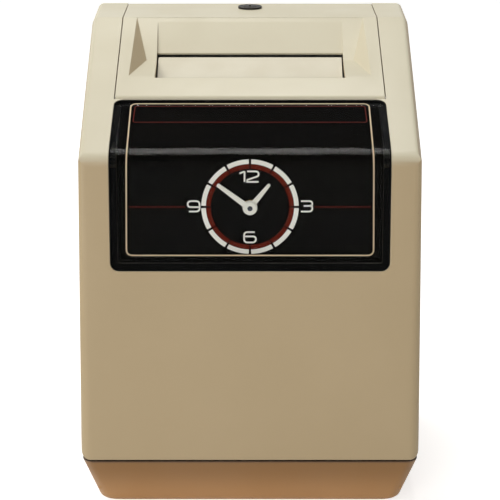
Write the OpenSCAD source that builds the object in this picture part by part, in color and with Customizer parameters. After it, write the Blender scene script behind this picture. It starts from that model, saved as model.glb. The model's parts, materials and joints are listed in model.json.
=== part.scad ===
// Mechanical time clock: a sloped desk or wall case with a card throat in a locking lid,
// a glazed clock dial, and the clock, type wheels, ribbon and hammer works inside.
// +X is the viewer's right, -Y the front, +Z up. The origin is under the middle, on the table.

/* [Case] */
// Width of the case at its lower edge
case_w = 160; // [158:1:166]
// Depth of the case from front to back
case_d = 150; // [148:1:156]
// Height of the seam between base and case
seam_z = 26; // [24:1:29]
// Height of the bend between front and slope
bend_z = 173; // [171:1:177]
// Rise of the slope from the bend to the flat top
slope_rise = 46; // [45:0.5:48]
// Run of the slope from front to back
slope_run = 107; // [106:0.5:109]
// Wall thickness of the case
case_wall = 3.2; // [3:0.1:3.6]
// Lean of the side walls
draft = 0.6; // [0:0.1:0.8]
// Outer radius of the bend
bend_r = 8; // [7.5:0.5:9]
// Radius of the upright front corners
corner_r = 5; // [4:0.5:6]
// Radius of the edges along the slope and top
edge_r = 3; // [1.5:0.5:3]

/* [Base] */
// How far the base draws in towards the table
base_inset = 9; // [6:0.5:9.5]
// Thickness of the base walls and floor
base_wall = 3; // [2.5:0.5:3.5]
// Shadow gap between base and case
seam_gap = 1; // [0.5:0.1:1.5]
// Height of the rubber feet below the base
foot_h = 1.5; // [1:0.5:2.5]
// Radius of a rubber foot
foot_r = 7; // [5:0.5:8]

/* [Glazed face] */
// Half width of the face at the front
face_half = 64.5; // [64:0.5:66]
// Height of the lower edge of the face
face_bottom_z = 119; // [116:1:121]
// Length of the face up the slope
face_top_l = 45.5; // [44.5:0.5:46.5]
// Corner radius of the face
face_r = 4; // [3.5:0.5:6]
// Thickness of the clear lens
lens_t = 1.8; // [1.5:0.1:2]
// Thickness of the black lens gasket
gasket_t = 0.4; // [0.3:0.1:0.5]
// Width of the ledge that the lens sits on
face_lip = 3.3; // [2.8:0.1:3.6]
// Depth of the dial behind the front of the lens
dial_depth = 6.6; // [6.3:0.1:6.8]
// Sheet thickness of the dial tray
tray_t = 1.2; // [1:0.1:1.4]

/* [Lid and card throat] */
// How far each lid seam draws in from front to back
lid_taper = 2.5; // [1:0.5:4.5]
// Gap all round the lid
lid_gap = 0.4; // [0.3:0.1:0.6]
// Thickness of the lid
lid_wall = 2.6; // [2.2:0.1:2.8]
// Radius of the hinge roll along the lid's front edge
hinge_r = 3; // [2.9:0.1:3.3]
// Radius of the lid's hinge pins
hinge_pin_r = 1.5; // [1.2:0.1:1.7]
// Half width of the hopper at its front edge
hopper_half = 58; // [57:0.5:58.5]
// Distance up the slope to the hopper's front edge
hopper_front_l = 65.5; // [64.5:0.5:67]
// Distance up the slope to the hopper's valley
hopper_valley_l = 89; // [87:0.5:90]
// Depth of the valley
hopper_depth = 7; // [6.5:0.1:7.4]
// Lean of the hopper's side walls, inwards over the whole depth
hopper_side_run = 6.6; // [5:0.2:7.5]
// Half width of the card pocket through the lid
pocket_half = 45.5; // [45:0.5:47]
// Distance up the slope to the pocket's front edge
pocket_front_l = 63.8; // [62.5:0.1:64.2]
// Distance up the slope to the back edge of the card slot
slot_l = 95; // [94:0.5:96]
// Extra depth of the floor's middle at the card slot
slot_dip = 1.6; // [1.2:0.1:1.8]
// Thickness of a time card's passage
card_gap = 2; // [1.8:0.1:2.2]
// Half width of a time card's passage
card_half = 43.4; // [43.2:0.1:43.6]
// Depth of the chute's flared lip below the slope
lip_depth = 7.7; // [7.6:0.1:8.2]

/* [Lock] */
// Distance of the lock from the back edge
lock_back = 15.4; // [15:0.1:16]
// Radius of the lock's face
lock_r = 6; // [5.6:0.1:6.4]
// Reach of the lock's cam from the lock's axis
cam_reach = 12; // [10:0.5:12.5]

/* [Clock] */
// Drop of the clock's centre below the bend
dial_drop = 25; // [24.6:0.1:25.4]
// Length of the minute hand
minute_len = 18.9; // [17:0.1:19.5]
// Length of the hour hand
hour_len = 14.4; // [12:0.1:15]
// Angle of the minute hand, clockwise from twelve
minute_angle = -53; // [-180:1:180]
// Angle of the hour hand, clockwise from twelve
hour_angle = 39; // [-180:1:180]
// Radius of the minute hand's hub
hub_r = 3.1; // [2.8:0.1:3.4]

/* [Gears] */
// Module of the spur gears
gear_m = 0.6; // [0.58:0.01:0.62]
// Thinning of each gear tooth for backlash
backlash = 0.1; // [0.09:0.01:0.13]
// Module of the mitre gears
mitre_m = 1; // [0.95:0.05:1.05]

/* [Printing works] */
// Radius over the type of the type wheels
type_r = 20; // [19:0.5:20]
// Width of a type wheel
type_w = 7; // [6:0.5:7.5]
// Swing of the hammer
hammer_swing = 9.5; // [8:0.5:10]
// Radius of the ribbon spools' flanges
spool_r = 11.5; // [10:0.5:11.5]
// Width of the ribbon
ribbon_w = 24.8; // [22:0.2:25]
// Thickness of the frame's steel sheet
sheet = 1.5; // [1.3:0.1:1.6]

/* [Hidden] */
$fn = 48;

// Main planes and angles
front_y = -case_d / 2;
back_y = case_d / 2;
top_z = bend_z + slope_rise;
slope_a = atan2(slope_rise, slope_run);
slope_len = norm([slope_run, slope_rise]);
base_z = foot_h;
floor_z = base_z + base_wall;
big = 400;
eps = 0.01;
fit_gap = 0.4;
run_fit = 0.05;

// Half width of the case at a height
function case_half(z) = case_w / 2 - (z - seam_z) * tan(draft);
// Half width of the lid at a depth
function strip_half(y) = face_half - (y - front_y) * lid_taper / case_d;
// A point of the side view, l up the slope from the bend and n out from its surface
function on_slope(l, n) = [front_y + l * cos(slope_a) - n * sin(slope_a),
                           bend_z + l * sin(slope_a) + n * cos(slope_a)];
// Corners of the side view, drawn in by w
function bend_in(w) = [front_y + w, bend_z + w * tan(slope_a) - w / cos(slope_a)];
function fold_in(w) = [front_y + (slope_rise - w + w / cos(slope_a)) / tan(slope_a), top_z - w];

// Round corner of radius r at b, between the lines to a and c
function unit(v) = v / norm(v);
function corner_arc(a, b, c, r, steps = 8) =
  let (u = unit(a - b), v = unit(c - b), half = acos(u * v) / 2,
       m = b + unit(u + v) * r / sin(half),
       p = b + u * r / tan(half) - m, q = b + v * r / tan(half) - m,
       p_a = atan2(p[1], p[0]), turn = (atan2(q[1], q[0]) - p_a + 540) % 360 - 180)
  [for (i = [0 : steps]) m + r * [cos(p_a + turn * i / steps), sin(p_a + turn * i / steps)]];
function rounded(pts, radii) = let (n = len(pts))
  [for (i = [0 : n - 1])
    each radii[i] > 0 ? corner_arc(pts[(i + n - 1) % n], pts[i], pts[(i + 1) % n], radii[i]) : [pts[i]]];

// Side view of the case drawn in by w, from height z0 up
function side_view(w, z0, back = back_y) = rounded(
  [[front_y + w, z0], bend_in(w), fold_in(w), [back, top_z - w], [back, z0]],
  [0, max(bend_r - w, 0.5), edge_r / 2, 0, 0]);

// Flat shapes put up along an axis: along_x takes (y, z) shapes, along_y takes (x, z) shapes
module along_x(x0, x1, y = 0, z = 0) {
  translate([x0, y, z]) rotate([90, 0, 90]) linear_extrude(x1 - x0) children();
}
module along_y(y0, y1, x = 0, z = 0) {
  translate([x, y1, z]) rotate([90, 0, 0]) linear_extrude(y1 - y0) children();
}
module rod_x(x0, x1, yz, r) translate([x0, yz[0], yz[1]]) rotate([0, 90, 0]) cylinder(h = x1 - x0, r = r);
module rod_y(y0, y1, xz, r) translate([xz[0], y0, xz[1]]) rotate([-90, 0, 0]) cylinder(h = y1 - y0, r = r);
module rod_z(z0, z1, xy, r) translate([xy[0], xy[1], z0]) cylinder(h = z1 - z0, r = r);
module box(lo, hi) { translate(lo) cube(hi - lo); }
// Solids in the slope's own frame: x across, y up the slope, z out of it
module slope_frame() { translate([0, front_y, bend_z]) rotate([slope_a, 0, 0]) children(); }
module mirrored() { children(); mirror([1, 0, 0]) children(); }

// Involute gear outline of n teeth with one tooth centred on an angle
gear_pa = 25;
gear_add = 0.8;
gear_ded = 1.1;
function inv(a) = tan(a) * 180 / PI - a;
function gear_points(n, m, phase) =
  let (rp = m * n / 2, rb = rp * cos(gear_pa), ra = rp + gear_add * m, rr = rp - gear_ded * m,
       tp = (PI * m / 2 - backlash) / 2 / rp * 180 / PI, r0 = max(rb, rr), steps = 3,
       flank = [for (i = [0 : steps]) let (r = r0 + (ra - r0) * i / steps)
                 [r, tp + inv(gear_pa) - inv(acos(min(rb / r, 1)))]],
       rise = concat([[rr, -flank[0][1]]], [for (f = flank) [f[0], -f[1]]]),
       fall = concat([for (i = [steps : -1 : 0]) flank[i]], [[rr, flank[0][1]]]))
  [for (k = [0 : n - 1]) each [for (p = concat(rise, fall))
    p[0] * [cos(phase + 360 * k / n + p[1]), sin(phase + 360 * k / n + p[1])]]];
module gear(n, phase) { polygon(gear_points(n, gear_m, phase)); }

// Where the screws that join base, case and frames stand
boss_x = case_w / 2 - 15.5;
boss_front_y = front_y + 17;
boss_back_y = back_y - 12;
boss_r = 4.5;
boss_h = 22;
screw_r = 1.5;
screw_head_r = 2.8;
screw_head_h = 2;
frame_x = case_w / 2 - 22;
flange_w = 7.5;
boss_places = [for (x = [-boss_x, boss_x], y = [boss_front_y, boss_back_y]) [x, y]];
flange_mid = frame_x + sheet + flange_w / 2 + 0.3;
foot_flange_y = [-40, 50];
foot_screw_y = [-25, 35];
foot_screws = [for (x = [-flange_mid, flange_mid], y = foot_screw_y) [x, y]];
back_screws = [for (x = [-flange_mid, flange_mid], z = [seam_z + 40, bend_z]) [x, z]];

// Base
lip_h = 4;
rim_h = 3;
rim_in = case_wall + lip_h + fit_gap;
base_corner_r = 6;
base_round = 3;
base_lip = 0.5;
foot_in = 17;
foot_sink = 1;
foot_places = [for (x = [-1, 1], y = [front_y + base_inset + foot_in, back_y - foot_in - 12])
  [x * (case_w / 2 - base_inset - foot_in), y]];
inlet_x = frame_x - 13;
inlet_z = (floor_z + seam_z) / 2;
inlet_r = 5;
module rounded_plan(half, y0, y1, r) {
  polygon(rounded([[-half, y0], [half, y0], [half, y1], [-half, y1]], [r, r, r / 2, r / 2]));
}
// Slice of the base at a height, drawn in by w at the front and sides and by b at the back
module base_slice(z, w, b) translate([0, 0, z]) linear_extrude(eps)
  rounded_plan(case_w / 2 - w, front_y + w, back_y - b, base_corner_r);
// Solid form of the base: a rounded bottom edge, then sides that flare up to the seam
module base_form(inset) {
  flare = (base_inset - base_lip) / (seam_z - seam_gap - base_z);
  hull() {
    for (a = [0 : 22.5 : 90]) {
      up = base_round * (1 - cos(a));
      round_in = base_round * (1 - sin(a));
      base_slice(base_z + up, base_inset - up * flare + round_in + inset, round_in + inset);
    }
    base_slice(seam_z - seam_gap - eps, base_lip + inset, inset);
  }
}
// Moulded base: drawn in towards the table, with raised rims inside the case's lower edge
module base_tray() color("#9a7450") difference() {
  union() {
    difference() {
      base_form(0);
      intersection() {
        base_form(base_wall);
        box([-big, -big, floor_z], [big, big, big]);
      }
      box([-big, -big, seam_z - seam_gap - 2 * eps], [big, big, big]);
    }
    mirrored() box([case_w / 2 - rim_in - base_wall, front_y + rim_in, floor_z + 4],
                   [case_w / 2 - rim_in, back_y - base_wall, seam_z + rim_h]);
    box([-case_w / 2 + rim_in + 1, front_y + rim_in, floor_z + 4],
        [case_w / 2 - rim_in - 1, front_y + rim_in + base_wall, seam_z + rim_h]);
    for (p = boss_places) rod_z(base_z + eps, seam_z, p, boss_r);
  }
  for (p = boss_places) {
    rod_z(-1, big, p, screw_r + run_fit);
    rod_z(-1, base_z + screw_head_h + fit_gap, p, screw_head_r + fit_gap);
  }
  for (p = foot_places) rod_z(-1, base_z + foot_sink, p, foot_r);
  for (p = foot_screws) rod_z(-1, floor_z + 1, p, screw_r + run_fit);
  rod_y(back_y - 2 * base_wall, back_y + 1, [inlet_x, inlet_z], inlet_r);
}
module rubber_feet() color("#262524")
  for (p = foot_places) translate([p[0], p[1], 0])
    rotate_extrude() polygon([[0, 0], [foot_r - 1.5, 0], [foot_r - 0.5, foot_h], [foot_r, foot_h],
                              [foot_r, foot_h + foot_sink], [0, foot_h + foot_sink]]);
module cord_grommet() color("#1d1d1d") difference() {
  union() {
    rod_y(back_y - base_wall - 1, back_y, [inlet_x, inlet_z], inlet_r);
    rod_y(back_y - base_wall - 1.5, back_y - base_wall, [inlet_x, inlet_z], inlet_r + 1.5);
  }
  rod_y(0, big, [inlet_x, inlet_z], inlet_r - 1.5);
}
// Terminal block behind the cord's inlet: a moulded strip with wire holes and clamp screws
terminal_n = 3;
terminal_pitch = 8;
terminal_d = 12;
terminal_h = 10;
terminal_back = 30;
terminal_y = back_y - terminal_back;
terminal_top = floor_z + terminal_h;
wire_z = floor_z + 5;
wire_r = 1.8;
clamp_r = 1.6;
terminal_groove = 1;
module terminal_block() color("#d8d2c2") difference() {
  w = terminal_n * terminal_pitch;
  box([inlet_x - w / 2, terminal_y, floor_z], [inlet_x + w / 2, terminal_y + terminal_d, terminal_top]);
  for (i = [0 : terminal_n - 1]) {
    x = inlet_x + (i - (terminal_n - 1) / 2) * terminal_pitch;
    rod_y(terminal_y - 1, terminal_y + terminal_d + 1, [x, wire_z], wire_r);
    for (y = [terminal_d / 4, terminal_d * 3 / 4])
      rod_z(wire_z, terminal_top + 1, [x, terminal_y + y], clamp_r);
    if (i > 0) translate([x - terminal_pitch / 2, 0, 0])
      box([-terminal_groove / 2, terminal_y - 1, terminal_top - 2],
          [terminal_groove / 2, terminal_y + terminal_d + 1, terminal_top + 1]);
  }
}
module case_screws() color("#8a8a88")
  for (p = boss_places) {
    rod_z(base_z + fit_gap, base_z + fit_gap + screw_head_h, p, screw_head_r);
    rod_z(base_z + fit_gap + screw_head_h - eps, seam_z + boss_h - 4, p, screw_r);
  }

// The face: a layer is everything between two depths under the case's outer surface
module layer(near, far) {
  difference() {
    along_x(-big / 2, big / 2) polygon(side_view(near, 0, big));
    along_x(-big, big) polygon(side_view(far, -1, big + 1));
  }
}
// Outline of the face grown by g, on the front and up the slope
module face_outline(g) {
  reach = 12;
  half = face_half + g;
  r = max(face_r + g, 0.6);
  top_half = strip_half(on_slope(face_top_l, 0)[0]) + g;
  along_y(front_y - reach, front_y + 8)
    polygon(rounded([[-half, face_bottom_z - g], [half, face_bottom_z - g], [half, bend_z], [-half, bend_z]],
                    [r, r, 0, 0]));
  slope_frame() translate([0, 0, -reach]) linear_extrude(2 * reach)
    polygon(rounded([[-half, 0], [half, 0], [half, 8], [top_half, face_top_l + g],
                     [-top_half, face_top_l + g], [-half, 8]], [0, 0, 0, r, r, 0]));
}
rebate = lens_t + gasket_t;
lens_fit = 0.15;
tray_fit = 0.05;
tray_flange = 1.5;
// The gasket lies under the lens and turns up round its edge, in a rim a little lower than the lens
rim_t = 0.5;
rim_drop = 0.1;
module face_lens() color("#8a8f94", 0.35) intersection() {
  layer(0, lens_t);
  face_outline(-rim_t - tray_fit);
}
module lens_gasket() color("#141414") intersection() {
  layer(rim_drop, rebate);
  difference() {
    face_outline(0);
    face_outline(-face_lip);
    intersection() { layer(-1, lens_t); face_outline(-rim_t); }
  }
}
// Side view of the tray's floor: f behind the front and s under the slope
function tray_view(f, s, z0, back) = rounded(
  [[front_y + f, z0], [front_y + f, bend_z + f * tan(slope_a) - s / cos(slope_a)], fold_in(s),
   [back, top_z - s], [back, z0]],
  [0, 1, edge_r / 2, 0, 0]);
tray_slope = lens_t + 0.1;
module tray_below(f, s, z0, back) along_x(-back / 2, back / 2) polygon(tray_view(f, s, z0, back));
// Pressed black tray: deep behind the hands and shallow up the slope, with a hole for the hands' arbors
module dial_tray() color("#0d0d0d") difference() {
  union() {
    intersection() {
      difference() {
        tray_below(dial_depth, tray_slope, 0, big);
        tray_below(dial_depth + tray_t, tray_slope + tray_t, -1, 2 * big);
      }
      face_outline(-face_lip - tray_fit);
    }
    intersection() {
      difference() {
        along_x(-big / 2, big / 2) polygon(side_view(rebate, 0, big));
        tray_below(dial_depth + tray_t / 2, case_wall + tray_t, -1, 2 * big);
      }
      difference() { face_outline(-face_lip - tray_fit); face_outline(-face_lip - tray_fit - tray_t); }
    }
    intersection() {
      layer(case_wall, case_wall + tray_t);
      difference() { face_outline(-face_lip + tray_flange); face_outline(-face_lip - tray_fit - tray_t / 2); }
    }
  }
  rod_y(front_y - 1, front_y + 12, [0, dial_z], pipe_r + 1);
}

// Case: front, sides and the two shoulders beside the lid
bar_w = 0.6;
bar_back_l = face_top_l + lens_fit + bar_w;
bar_half = strip_half(on_slope(face_top_l, 0)[0]) - face_r;
hinge_l = bar_back_l + lid_gap + hinge_r;
hinge_yz = on_slope(hinge_l, -hinge_r);
hinge_half = strip_half(hinge_yz[0]);
ear_w = 6;
pin_reach = 8;
module case_form(w) {
  intersection() {
    along_x(-case_w, case_w) polygon(side_view(w, seam_z, big));
    along_y(front_y - 1, back_y)
      polygon(rounded([[-case_half(seam_z) + w, seam_z], [case_half(seam_z) - w, seam_z],
                       [case_half(top_z) - w, top_z - w], [-case_half(top_z) + w, top_z - w]],
                      [lip_h, lip_h, max(edge_r - w, 0), max(edge_r - w, 0)]));
    linear_extrude(big)
      rounded_plan(case_w / 2 - w, front_y + w, big, max(corner_r - w, 0.6));
    slope_column(w);
  }
}
// Rounds the long edges of the slope and flares away below them
module slope_column(w) slope_frame() rotate([90, 0, 0]) translate([0, 0, -big / 2]) linear_extrude(big) {
  half = case_half(bend_z) + 0.05 - w;
  r = max(edge_r - w, 0.3);
  polygon(rounded([[half, -w], [half, -w - 2 * edge_r], [big / 3, -big], [-big / 3, -big],
                   [-half, -w - 2 * edge_r], [-half, -w]], [r, 0, 0, 0, 0, r]));
}
// Plan of the lid's strip, grown by g, from a line across the slope to the back
module strip_column(g, y0, z0) {
  translate([0, 0, z0]) linear_extrude(big)
    polygon([[-strip_half(y0) - g, y0], [strip_half(y0) + g, y0],
             [strip_half(back_y) + g, back_y + 5], [-strip_half(back_y) - g, back_y + 5]]);
}
module case_cavity() {
  low = case_half(seam_z) - case_wall;
  high = case_half(top_z) - case_wall;
  intersection() {
    along_x(-case_w, case_w) polygon(side_view(case_wall, -1, big));
    along_y(front_y, big)
      polygon([[-low + lip_h, seam_z - 1], [low - lip_h, seam_z - 1], [low - lip_h, seam_z + lip_h],
               [low, seam_z + lip_h], [high, top_z], [-high, top_z], [-low, seam_z + lip_h],
               [-low + lip_h, seam_z + lip_h]]);
  }
}
module case_shell() color("#d9cfae") difference() {
  union() {
    difference() {
      case_form(0);
      case_cavity();
      intersection() {
        strip_column(lid_gap, front_y, bend_z);
        slope_frame() box([-big, bar_back_l, -big], [big, big, big]);
      }
    }
    intersection() {
      case_form(1);
      union() {
        for (p = boss_places) rod_z(seam_z, seam_z + boss_h, p, boss_r);
        mirrored() for (y = [boss_front_y, boss_back_y])
          box([boss_x, y - 1.5, seam_z + rim_h + 0.5], [case_w / 2, y + 1.5, seam_z + boss_h]);
        mirrored() slope_frame()
          box([hinge_half + lid_gap, hinge_l - 5, -2 * hinge_r - 1.5],
              [hinge_half + lid_gap + ear_w, hinge_l + 5, -1]);
        slope_frame() box([-face_half - 1, face_top_l - face_lip + tray_flange + fit_gap, -case_wall - 3],
                          [face_half + 1, bar_back_l, -rebate]);
      }
    }
  }
  intersection() { layer(-2, rebate); face_outline(lens_fit); }
  intersection() { layer(-2, case_wall + 1); face_outline(-face_lip); }
  slope_frame() box([-bar_half, face_top_l, -rebate], [bar_half, hinge_l, hinge_r]);
  rod_x(-hinge_half - lid_gap - ear_w + 1, hinge_half + lid_gap + ear_w - 1, hinge_yz,
        hinge_pin_r + run_fit / 2);
  for (p = boss_places) rod_z(seam_z - 1, seam_z + boss_h - 2, p, screw_r);
}
module lid_hinge_pins() color("#8f8f8c") mirrored()
  rod_x(hinge_half - pin_reach, hinge_half + lid_gap + ear_w - 1.2, hinge_yz, hinge_pin_r);

// Back plate: steel sheet inside the case's open back, with wall holes and a catch for the lock's cam
lock_yz = [back_y - lock_back, top_z];
lock_len = 14;
lock_low = top_z - lock_len;
cam_t = 1.5;
catch_z = lock_low + 0.8;
plate_top = catch_z + sheet;
plate_low = seam_z + lip_h + fit_gap;
wall_hole_r = 2.6;
wall_hole_x = 40;
wall_hole_z = [seam_z + 40, seam_z + 160];
module back_plate() color("#a9abab") difference() {
  union() {
    along_y(back_y - sheet, back_y) difference() {
      union() {
        polygon([[-plate_half(plate_low), plate_low], [plate_half(plate_low), plate_low],
                 [plate_half(top_z), top_z - case_wall - fit_gap],
                 [-plate_half(top_z), top_z - case_wall - fit_gap]]);
        translate([-plate_half(plate_low) + lip_h, seam_z + 0.5])
          square([2 * plate_half(plate_low) - 2 * lip_h, lip_h]);
      }
      translate([-strip_half(back_y) - 1.5, plate_top]) square([2 * strip_half(back_y) + 3, 50]);
    }
    box([-10, lock_yz[0] + lock_r, catch_z], [10, back_y - sheet + eps, plate_top]);
  }
  for (x = [-wall_hole_x, wall_hole_x], z = wall_hole_z) rod_y(0, big, [x, z], wall_hole_r);
  for (p = back_screws) rod_y(0, big, p, screw_r + run_fit);
}
function plate_half(z) = case_half(z) - case_wall - fit_gap;

// Side frames: folded steel plates that stand on the base and carry the works
frame_depth = 14;
flange_in = 15;
module frame_web(x0) {
  along_x(x0, x0 + sheet) intersection() {
    polygon(side_view(frame_depth, floor_z, back_y - sheet));
    polygon(rounded([[bridge_y, floor_z], [back_y - base_wall - 0.5, floor_z],
                     [back_y - base_wall - 0.5, seam_z + 2], [back_y - sheet, seam_z + 2],
                     [back_y - sheet, big], [bridge_y, big]], [6, 0, 0, 0, 0, 0]));
  }
}
module side_frame() {
  frame_web(frame_x);
  box([frame_x + sheet - eps, foot_flange_y[0], floor_z],
      [frame_x + sheet + flange_w, foot_flange_y[1], floor_z + sheet]);
  box([frame_x + sheet - eps, back_y - 2 * sheet, seam_z + flange_in],
      [frame_x + sheet + flange_w, back_y - sheet, bend_z + flange_in]);
}
module frame_holes() {
  rod_x(frame_x - 1, frame_x + 5, type_yz, bush_r);
  rod_x(frame_x - 1, frame_x + 5, hammer_yz, hammer_shaft_r);
  for (p = foot_screws) rod_z(0, floor_z + 5, p, screw_r + run_fit);
  for (p = back_screws) rod_y(0, big, p, screw_r + run_fit);
}
module left_frame() color("#b4b6b4") mirror([1, 0, 0]) difference() {
  side_frame();
  frame_holes();
  rod_x(frame_x - 1, frame_x + 5, motor_yz, motor_boss_r + 0.2);
}
module right_frame() color("#b4b6b4") difference() {
  side_frame();
  frame_holes();
}
spacer_r = 3;
spacer_in = 13;
module frame_spacers() color("#8f9292") {
  for (yz = [[back_y - spacer_in, bend_z + 2], [back_y - spacer_in, seam_z + spacer_in],
             [bridge_y + 8, seam_z + spacer_in]])
    rod_x(-frame_x, frame_x, yz, spacer_r);
}
module frame_screws() color("#7d7f80") {
  for (p = foot_screws) {
    rod_z(floor_z + sheet, floor_z + sheet + screw_head_h, p, screw_head_r);
    rod_z(base_z + 0.3, floor_z + sheet + eps, p, screw_r);
  }
  for (p = back_screws) {
    rod_y(back_y - 2 * sheet - screw_head_h, back_y - 2 * sheet, p, screw_head_r);
    rod_y(back_y - 2 * sheet - eps, back_y - 0.2, p, screw_r);
  }
}

// Clock: the hands' arbors, the motion work behind the dial and the plates that carry them
dial_z = bend_z - dial_drop;
hand_t = 0.6;
minute_y = front_y + 3.4;
hour_y = front_y + 4.8;
arbor_r = 1.2;
pipe_r = 2.4;
wheel_w = 1.8;
hour_wheel_y = front_y + dial_depth + tray_t + 1.5;
cannon_y = hour_wheel_y + wheel_w + 2;
front_plate_y = cannon_y + wheel_w + 1.4;
pillar_len = 10;
bridge_y = front_plate_y + sheet + pillar_len;
low_n = 15;
low_wheel_n = 45;
high_n = 12;
high_wheel_n = 48;
train_d = gear_m * (low_n + low_wheel_n) / 2;
stud_r = 1.5;
motion_xz = [0, dial_z - train_d];
movement_half = 24;
movement_below = 10;
movement_above = 22;
movement_low = motion_xz[1] - movement_below;
movement_high = dial_z + movement_above;
pillar_in = 4;
pillar_r = 2.6;
rivet_r = 1.5;
pillar_places = [for (x = [-movement_half + pillar_in, movement_half - pillar_in],
                      z = [movement_low + pillar_in, movement_high - pillar_in]) [x, z]];
module movement_bridge() color("#b9a15a") difference() {
  along_y(bridge_y, bridge_y + sheet)
    polygon(rounded([[-frame_x, movement_low - pillar_in], [frame_x, movement_low - pillar_in],
                     [frame_x, movement_high], [-frame_x, movement_high]], [2, 2, 2, 2]));
  rod_y(bridge_y - 5, bridge_y + 5, [0, dial_z], arbor_r + run_fit);
}
module movement_front_plate() color("#c2a75c") difference() {
  along_y(front_plate_y, front_plate_y + sheet)
    polygon(rounded([[-movement_half, movement_low], [movement_half, movement_low],
                     [movement_half, movement_high], [-movement_half, movement_high]], [3, 3, 3, 3]));
  rod_y(front_plate_y - 5, front_plate_y + 5, [0, dial_z], arbor_r + run_fit);
  rod_y(front_plate_y - 5, front_plate_y + 5, motion_xz, stud_r);
  for (p = pillar_places) rod_y(front_plate_y - 5, front_plate_y + 5, p, rivet_r);
}
module movement_pillars() color("#c9b26b") for (p = pillar_places) {
  rod_y(front_plate_y + sheet, bridge_y, p, pillar_r);
  rod_y(front_plate_y - 1.2, front_plate_y + sheet + eps, p, rivet_r);
}
module motion_stud() color("#8c8f90") {
  rod_y(hour_wheel_y - 0.6, front_plate_y + sheet, motion_xz, stud_r);
}
// Arbor with the pinion leaves that drive the motion work
module center_arbor() color("#6d6f70") difference() {
  union() {
    rod_y(minute_y, type_yz[0] - mitre_r, [0, dial_z], arbor_r);
    along_y(cannon_y, cannon_y + wheel_w, 0, dial_z) gear(low_n, -90);
    rod_y(hour_wheel_y + wheel_w + 0.5, cannon_y + eps, [0, dial_z], 2.2);
  }
}
module motion_wheel() color("#c8a951") difference() {
  union() {
    along_y(cannon_y, cannon_y + wheel_w, motion_xz[0], motion_xz[1])
      gear(low_wheel_n, 90 + 180 / low_wheel_n);
    along_y(hour_wheel_y - 0.3, cannon_y + eps, motion_xz[0], motion_xz[1]) gear(high_n, 90);
  }
  rod_y(hour_wheel_y - 5, cannon_y + 5, motion_xz, stud_r + run_fit);
}
module hour_wheel() color("#c8a951") difference() {
  union() {
    along_y(hour_wheel_y, hour_wheel_y + wheel_w, 0, dial_z) gear(high_wheel_n, -90 + 180 / high_wheel_n);
    rod_y(hour_y, hour_wheel_y + eps, [0, dial_z], pipe_r);
  }
  rod_y(hour_y - 5, hour_wheel_y + 5, [0, dial_z], arbor_r + run_fit);
}
// Tapered hand of a length, pointing up, with a round hub
module hand(y, len, root, tip, hub, bore, angle) {
  difference() {
    union() {
      translate([0, 0, dial_z]) rotate([0, angle, 0])
        along_y(y, y + hand_t) polygon([[-root / 2, 0], [root / 2, 0], [tip / 2, len - 0.3], [0, len],
                                        [-tip / 2, len - 0.3]]);
      rod_y(y, y + hand_t, [0, dial_z], hub);
    }
    rod_y(y - 5, y + 5, [0, dial_z], bore);
  }
}
module minute_hand() color("#f2f2ec") hand(minute_y, minute_len, 2.7, 1.7, hub_r, arbor_r, minute_angle);
module hour_hand() color("#f2f2ec") hand(hour_y, hour_len, 2.8, 1.4, hub_r + 0.3, pipe_r, hour_angle);

// Type shaft and its drive, behind the clock and in front of the card
floor_fall = hopper_depth / (slope_len - hopper_valley_l);
slot_depth = floor_fall * (slope_len - slot_l) + slot_dip;
card_back_y = on_slope(slot_l, -slot_depth)[0];
card_front_y = card_back_y - card_gap;
chute_t = 1.2;
ribbon_t = 0.3;
ribbon_back_y = card_front_y - 2 * chute_t;
type_yz = [ribbon_back_y - ribbon_t - 0.6 - type_r, dial_z];
shaft_r = 2.5;
bush_r = 5;
mitre_n = 20;
mitre_r = mitre_m * mitre_n / 2;
mitre_face = 4;
mitre_hub = 2;
mitre_hub_r = 5;
type_x = mitre_r + mitre_hub + 0.6;
type_pitch = type_w + 1.5;
sleeve_r = 4.2;
hour_gear_x = type_x + 3 * type_pitch + 2.5;
low_gear_x = hour_gear_x + wheel_w + 1.7;
lay_a = -135;
lay_yz = type_yz + train_d * [cos(lay_a), sin(lay_a)];
drive_n = 60;
drive_x = -frame_x + 3;
drive_w = 2.5;
drive_hub = 2.5;
drive_hub_r = 5;
web_hole_at = 11;
web_hole_r = 3.6;
motor_n = 15;
motor_yz = type_yz + gear_m * (drive_n + motor_n) / 2 * [cos(lay_a), sin(lay_a)];
motor_r = 19;
motor_boss_r = 4;
motor_len = 12.5;
motor_plate = 1.5;
motor_x = -frame_x - sheet - motor_plate;
motor_ear = 5;
ear_out = 7;
module shaft_bushes() color("#b98a45") mirrored() difference() {
  rod_x(frame_x - 1.5, frame_x + sheet, type_yz, bush_r);
  rod_x(0, big, type_yz, shaft_r + run_fit);
}
// Shaft with the pinion leaves that drive the hour type
module type_shaft() color("#7b7e80") {
  rod_x(-frame_x - sheet + 0.2, frame_x + sheet - 0.2, type_yz, shaft_r);
  along_x(low_gear_x, low_gear_x + wheel_w, type_yz[0], type_yz[1]) gear(low_n, lay_a);
}
module drive_wheel() color("#c8a951") difference() {
  union() {
    along_x(drive_x, drive_x + drive_w, type_yz[0], type_yz[1]) gear(drive_n, lay_a + 180 / drive_n);
    rod_x(drive_x, drive_x + drive_w + drive_hub, type_yz, drive_hub_r);
  }
  rod_x(-big, big, type_yz, shaft_r);
  for (a = [0 : 60 : 300])
    rod_x(-big, 0, type_yz + web_hole_at * [cos(a), sin(a)], web_hole_r);
}
module motor_pinion() color("#6d6f70") {
  along_x(drive_x - 0.3, drive_x + drive_w + 0.3, motor_yz[0], motor_yz[1]) gear(motor_n, lay_a + 180);
  rod_x(-frame_x - sheet - 6, drive_x, motor_yz, 1.5);
}
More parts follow.
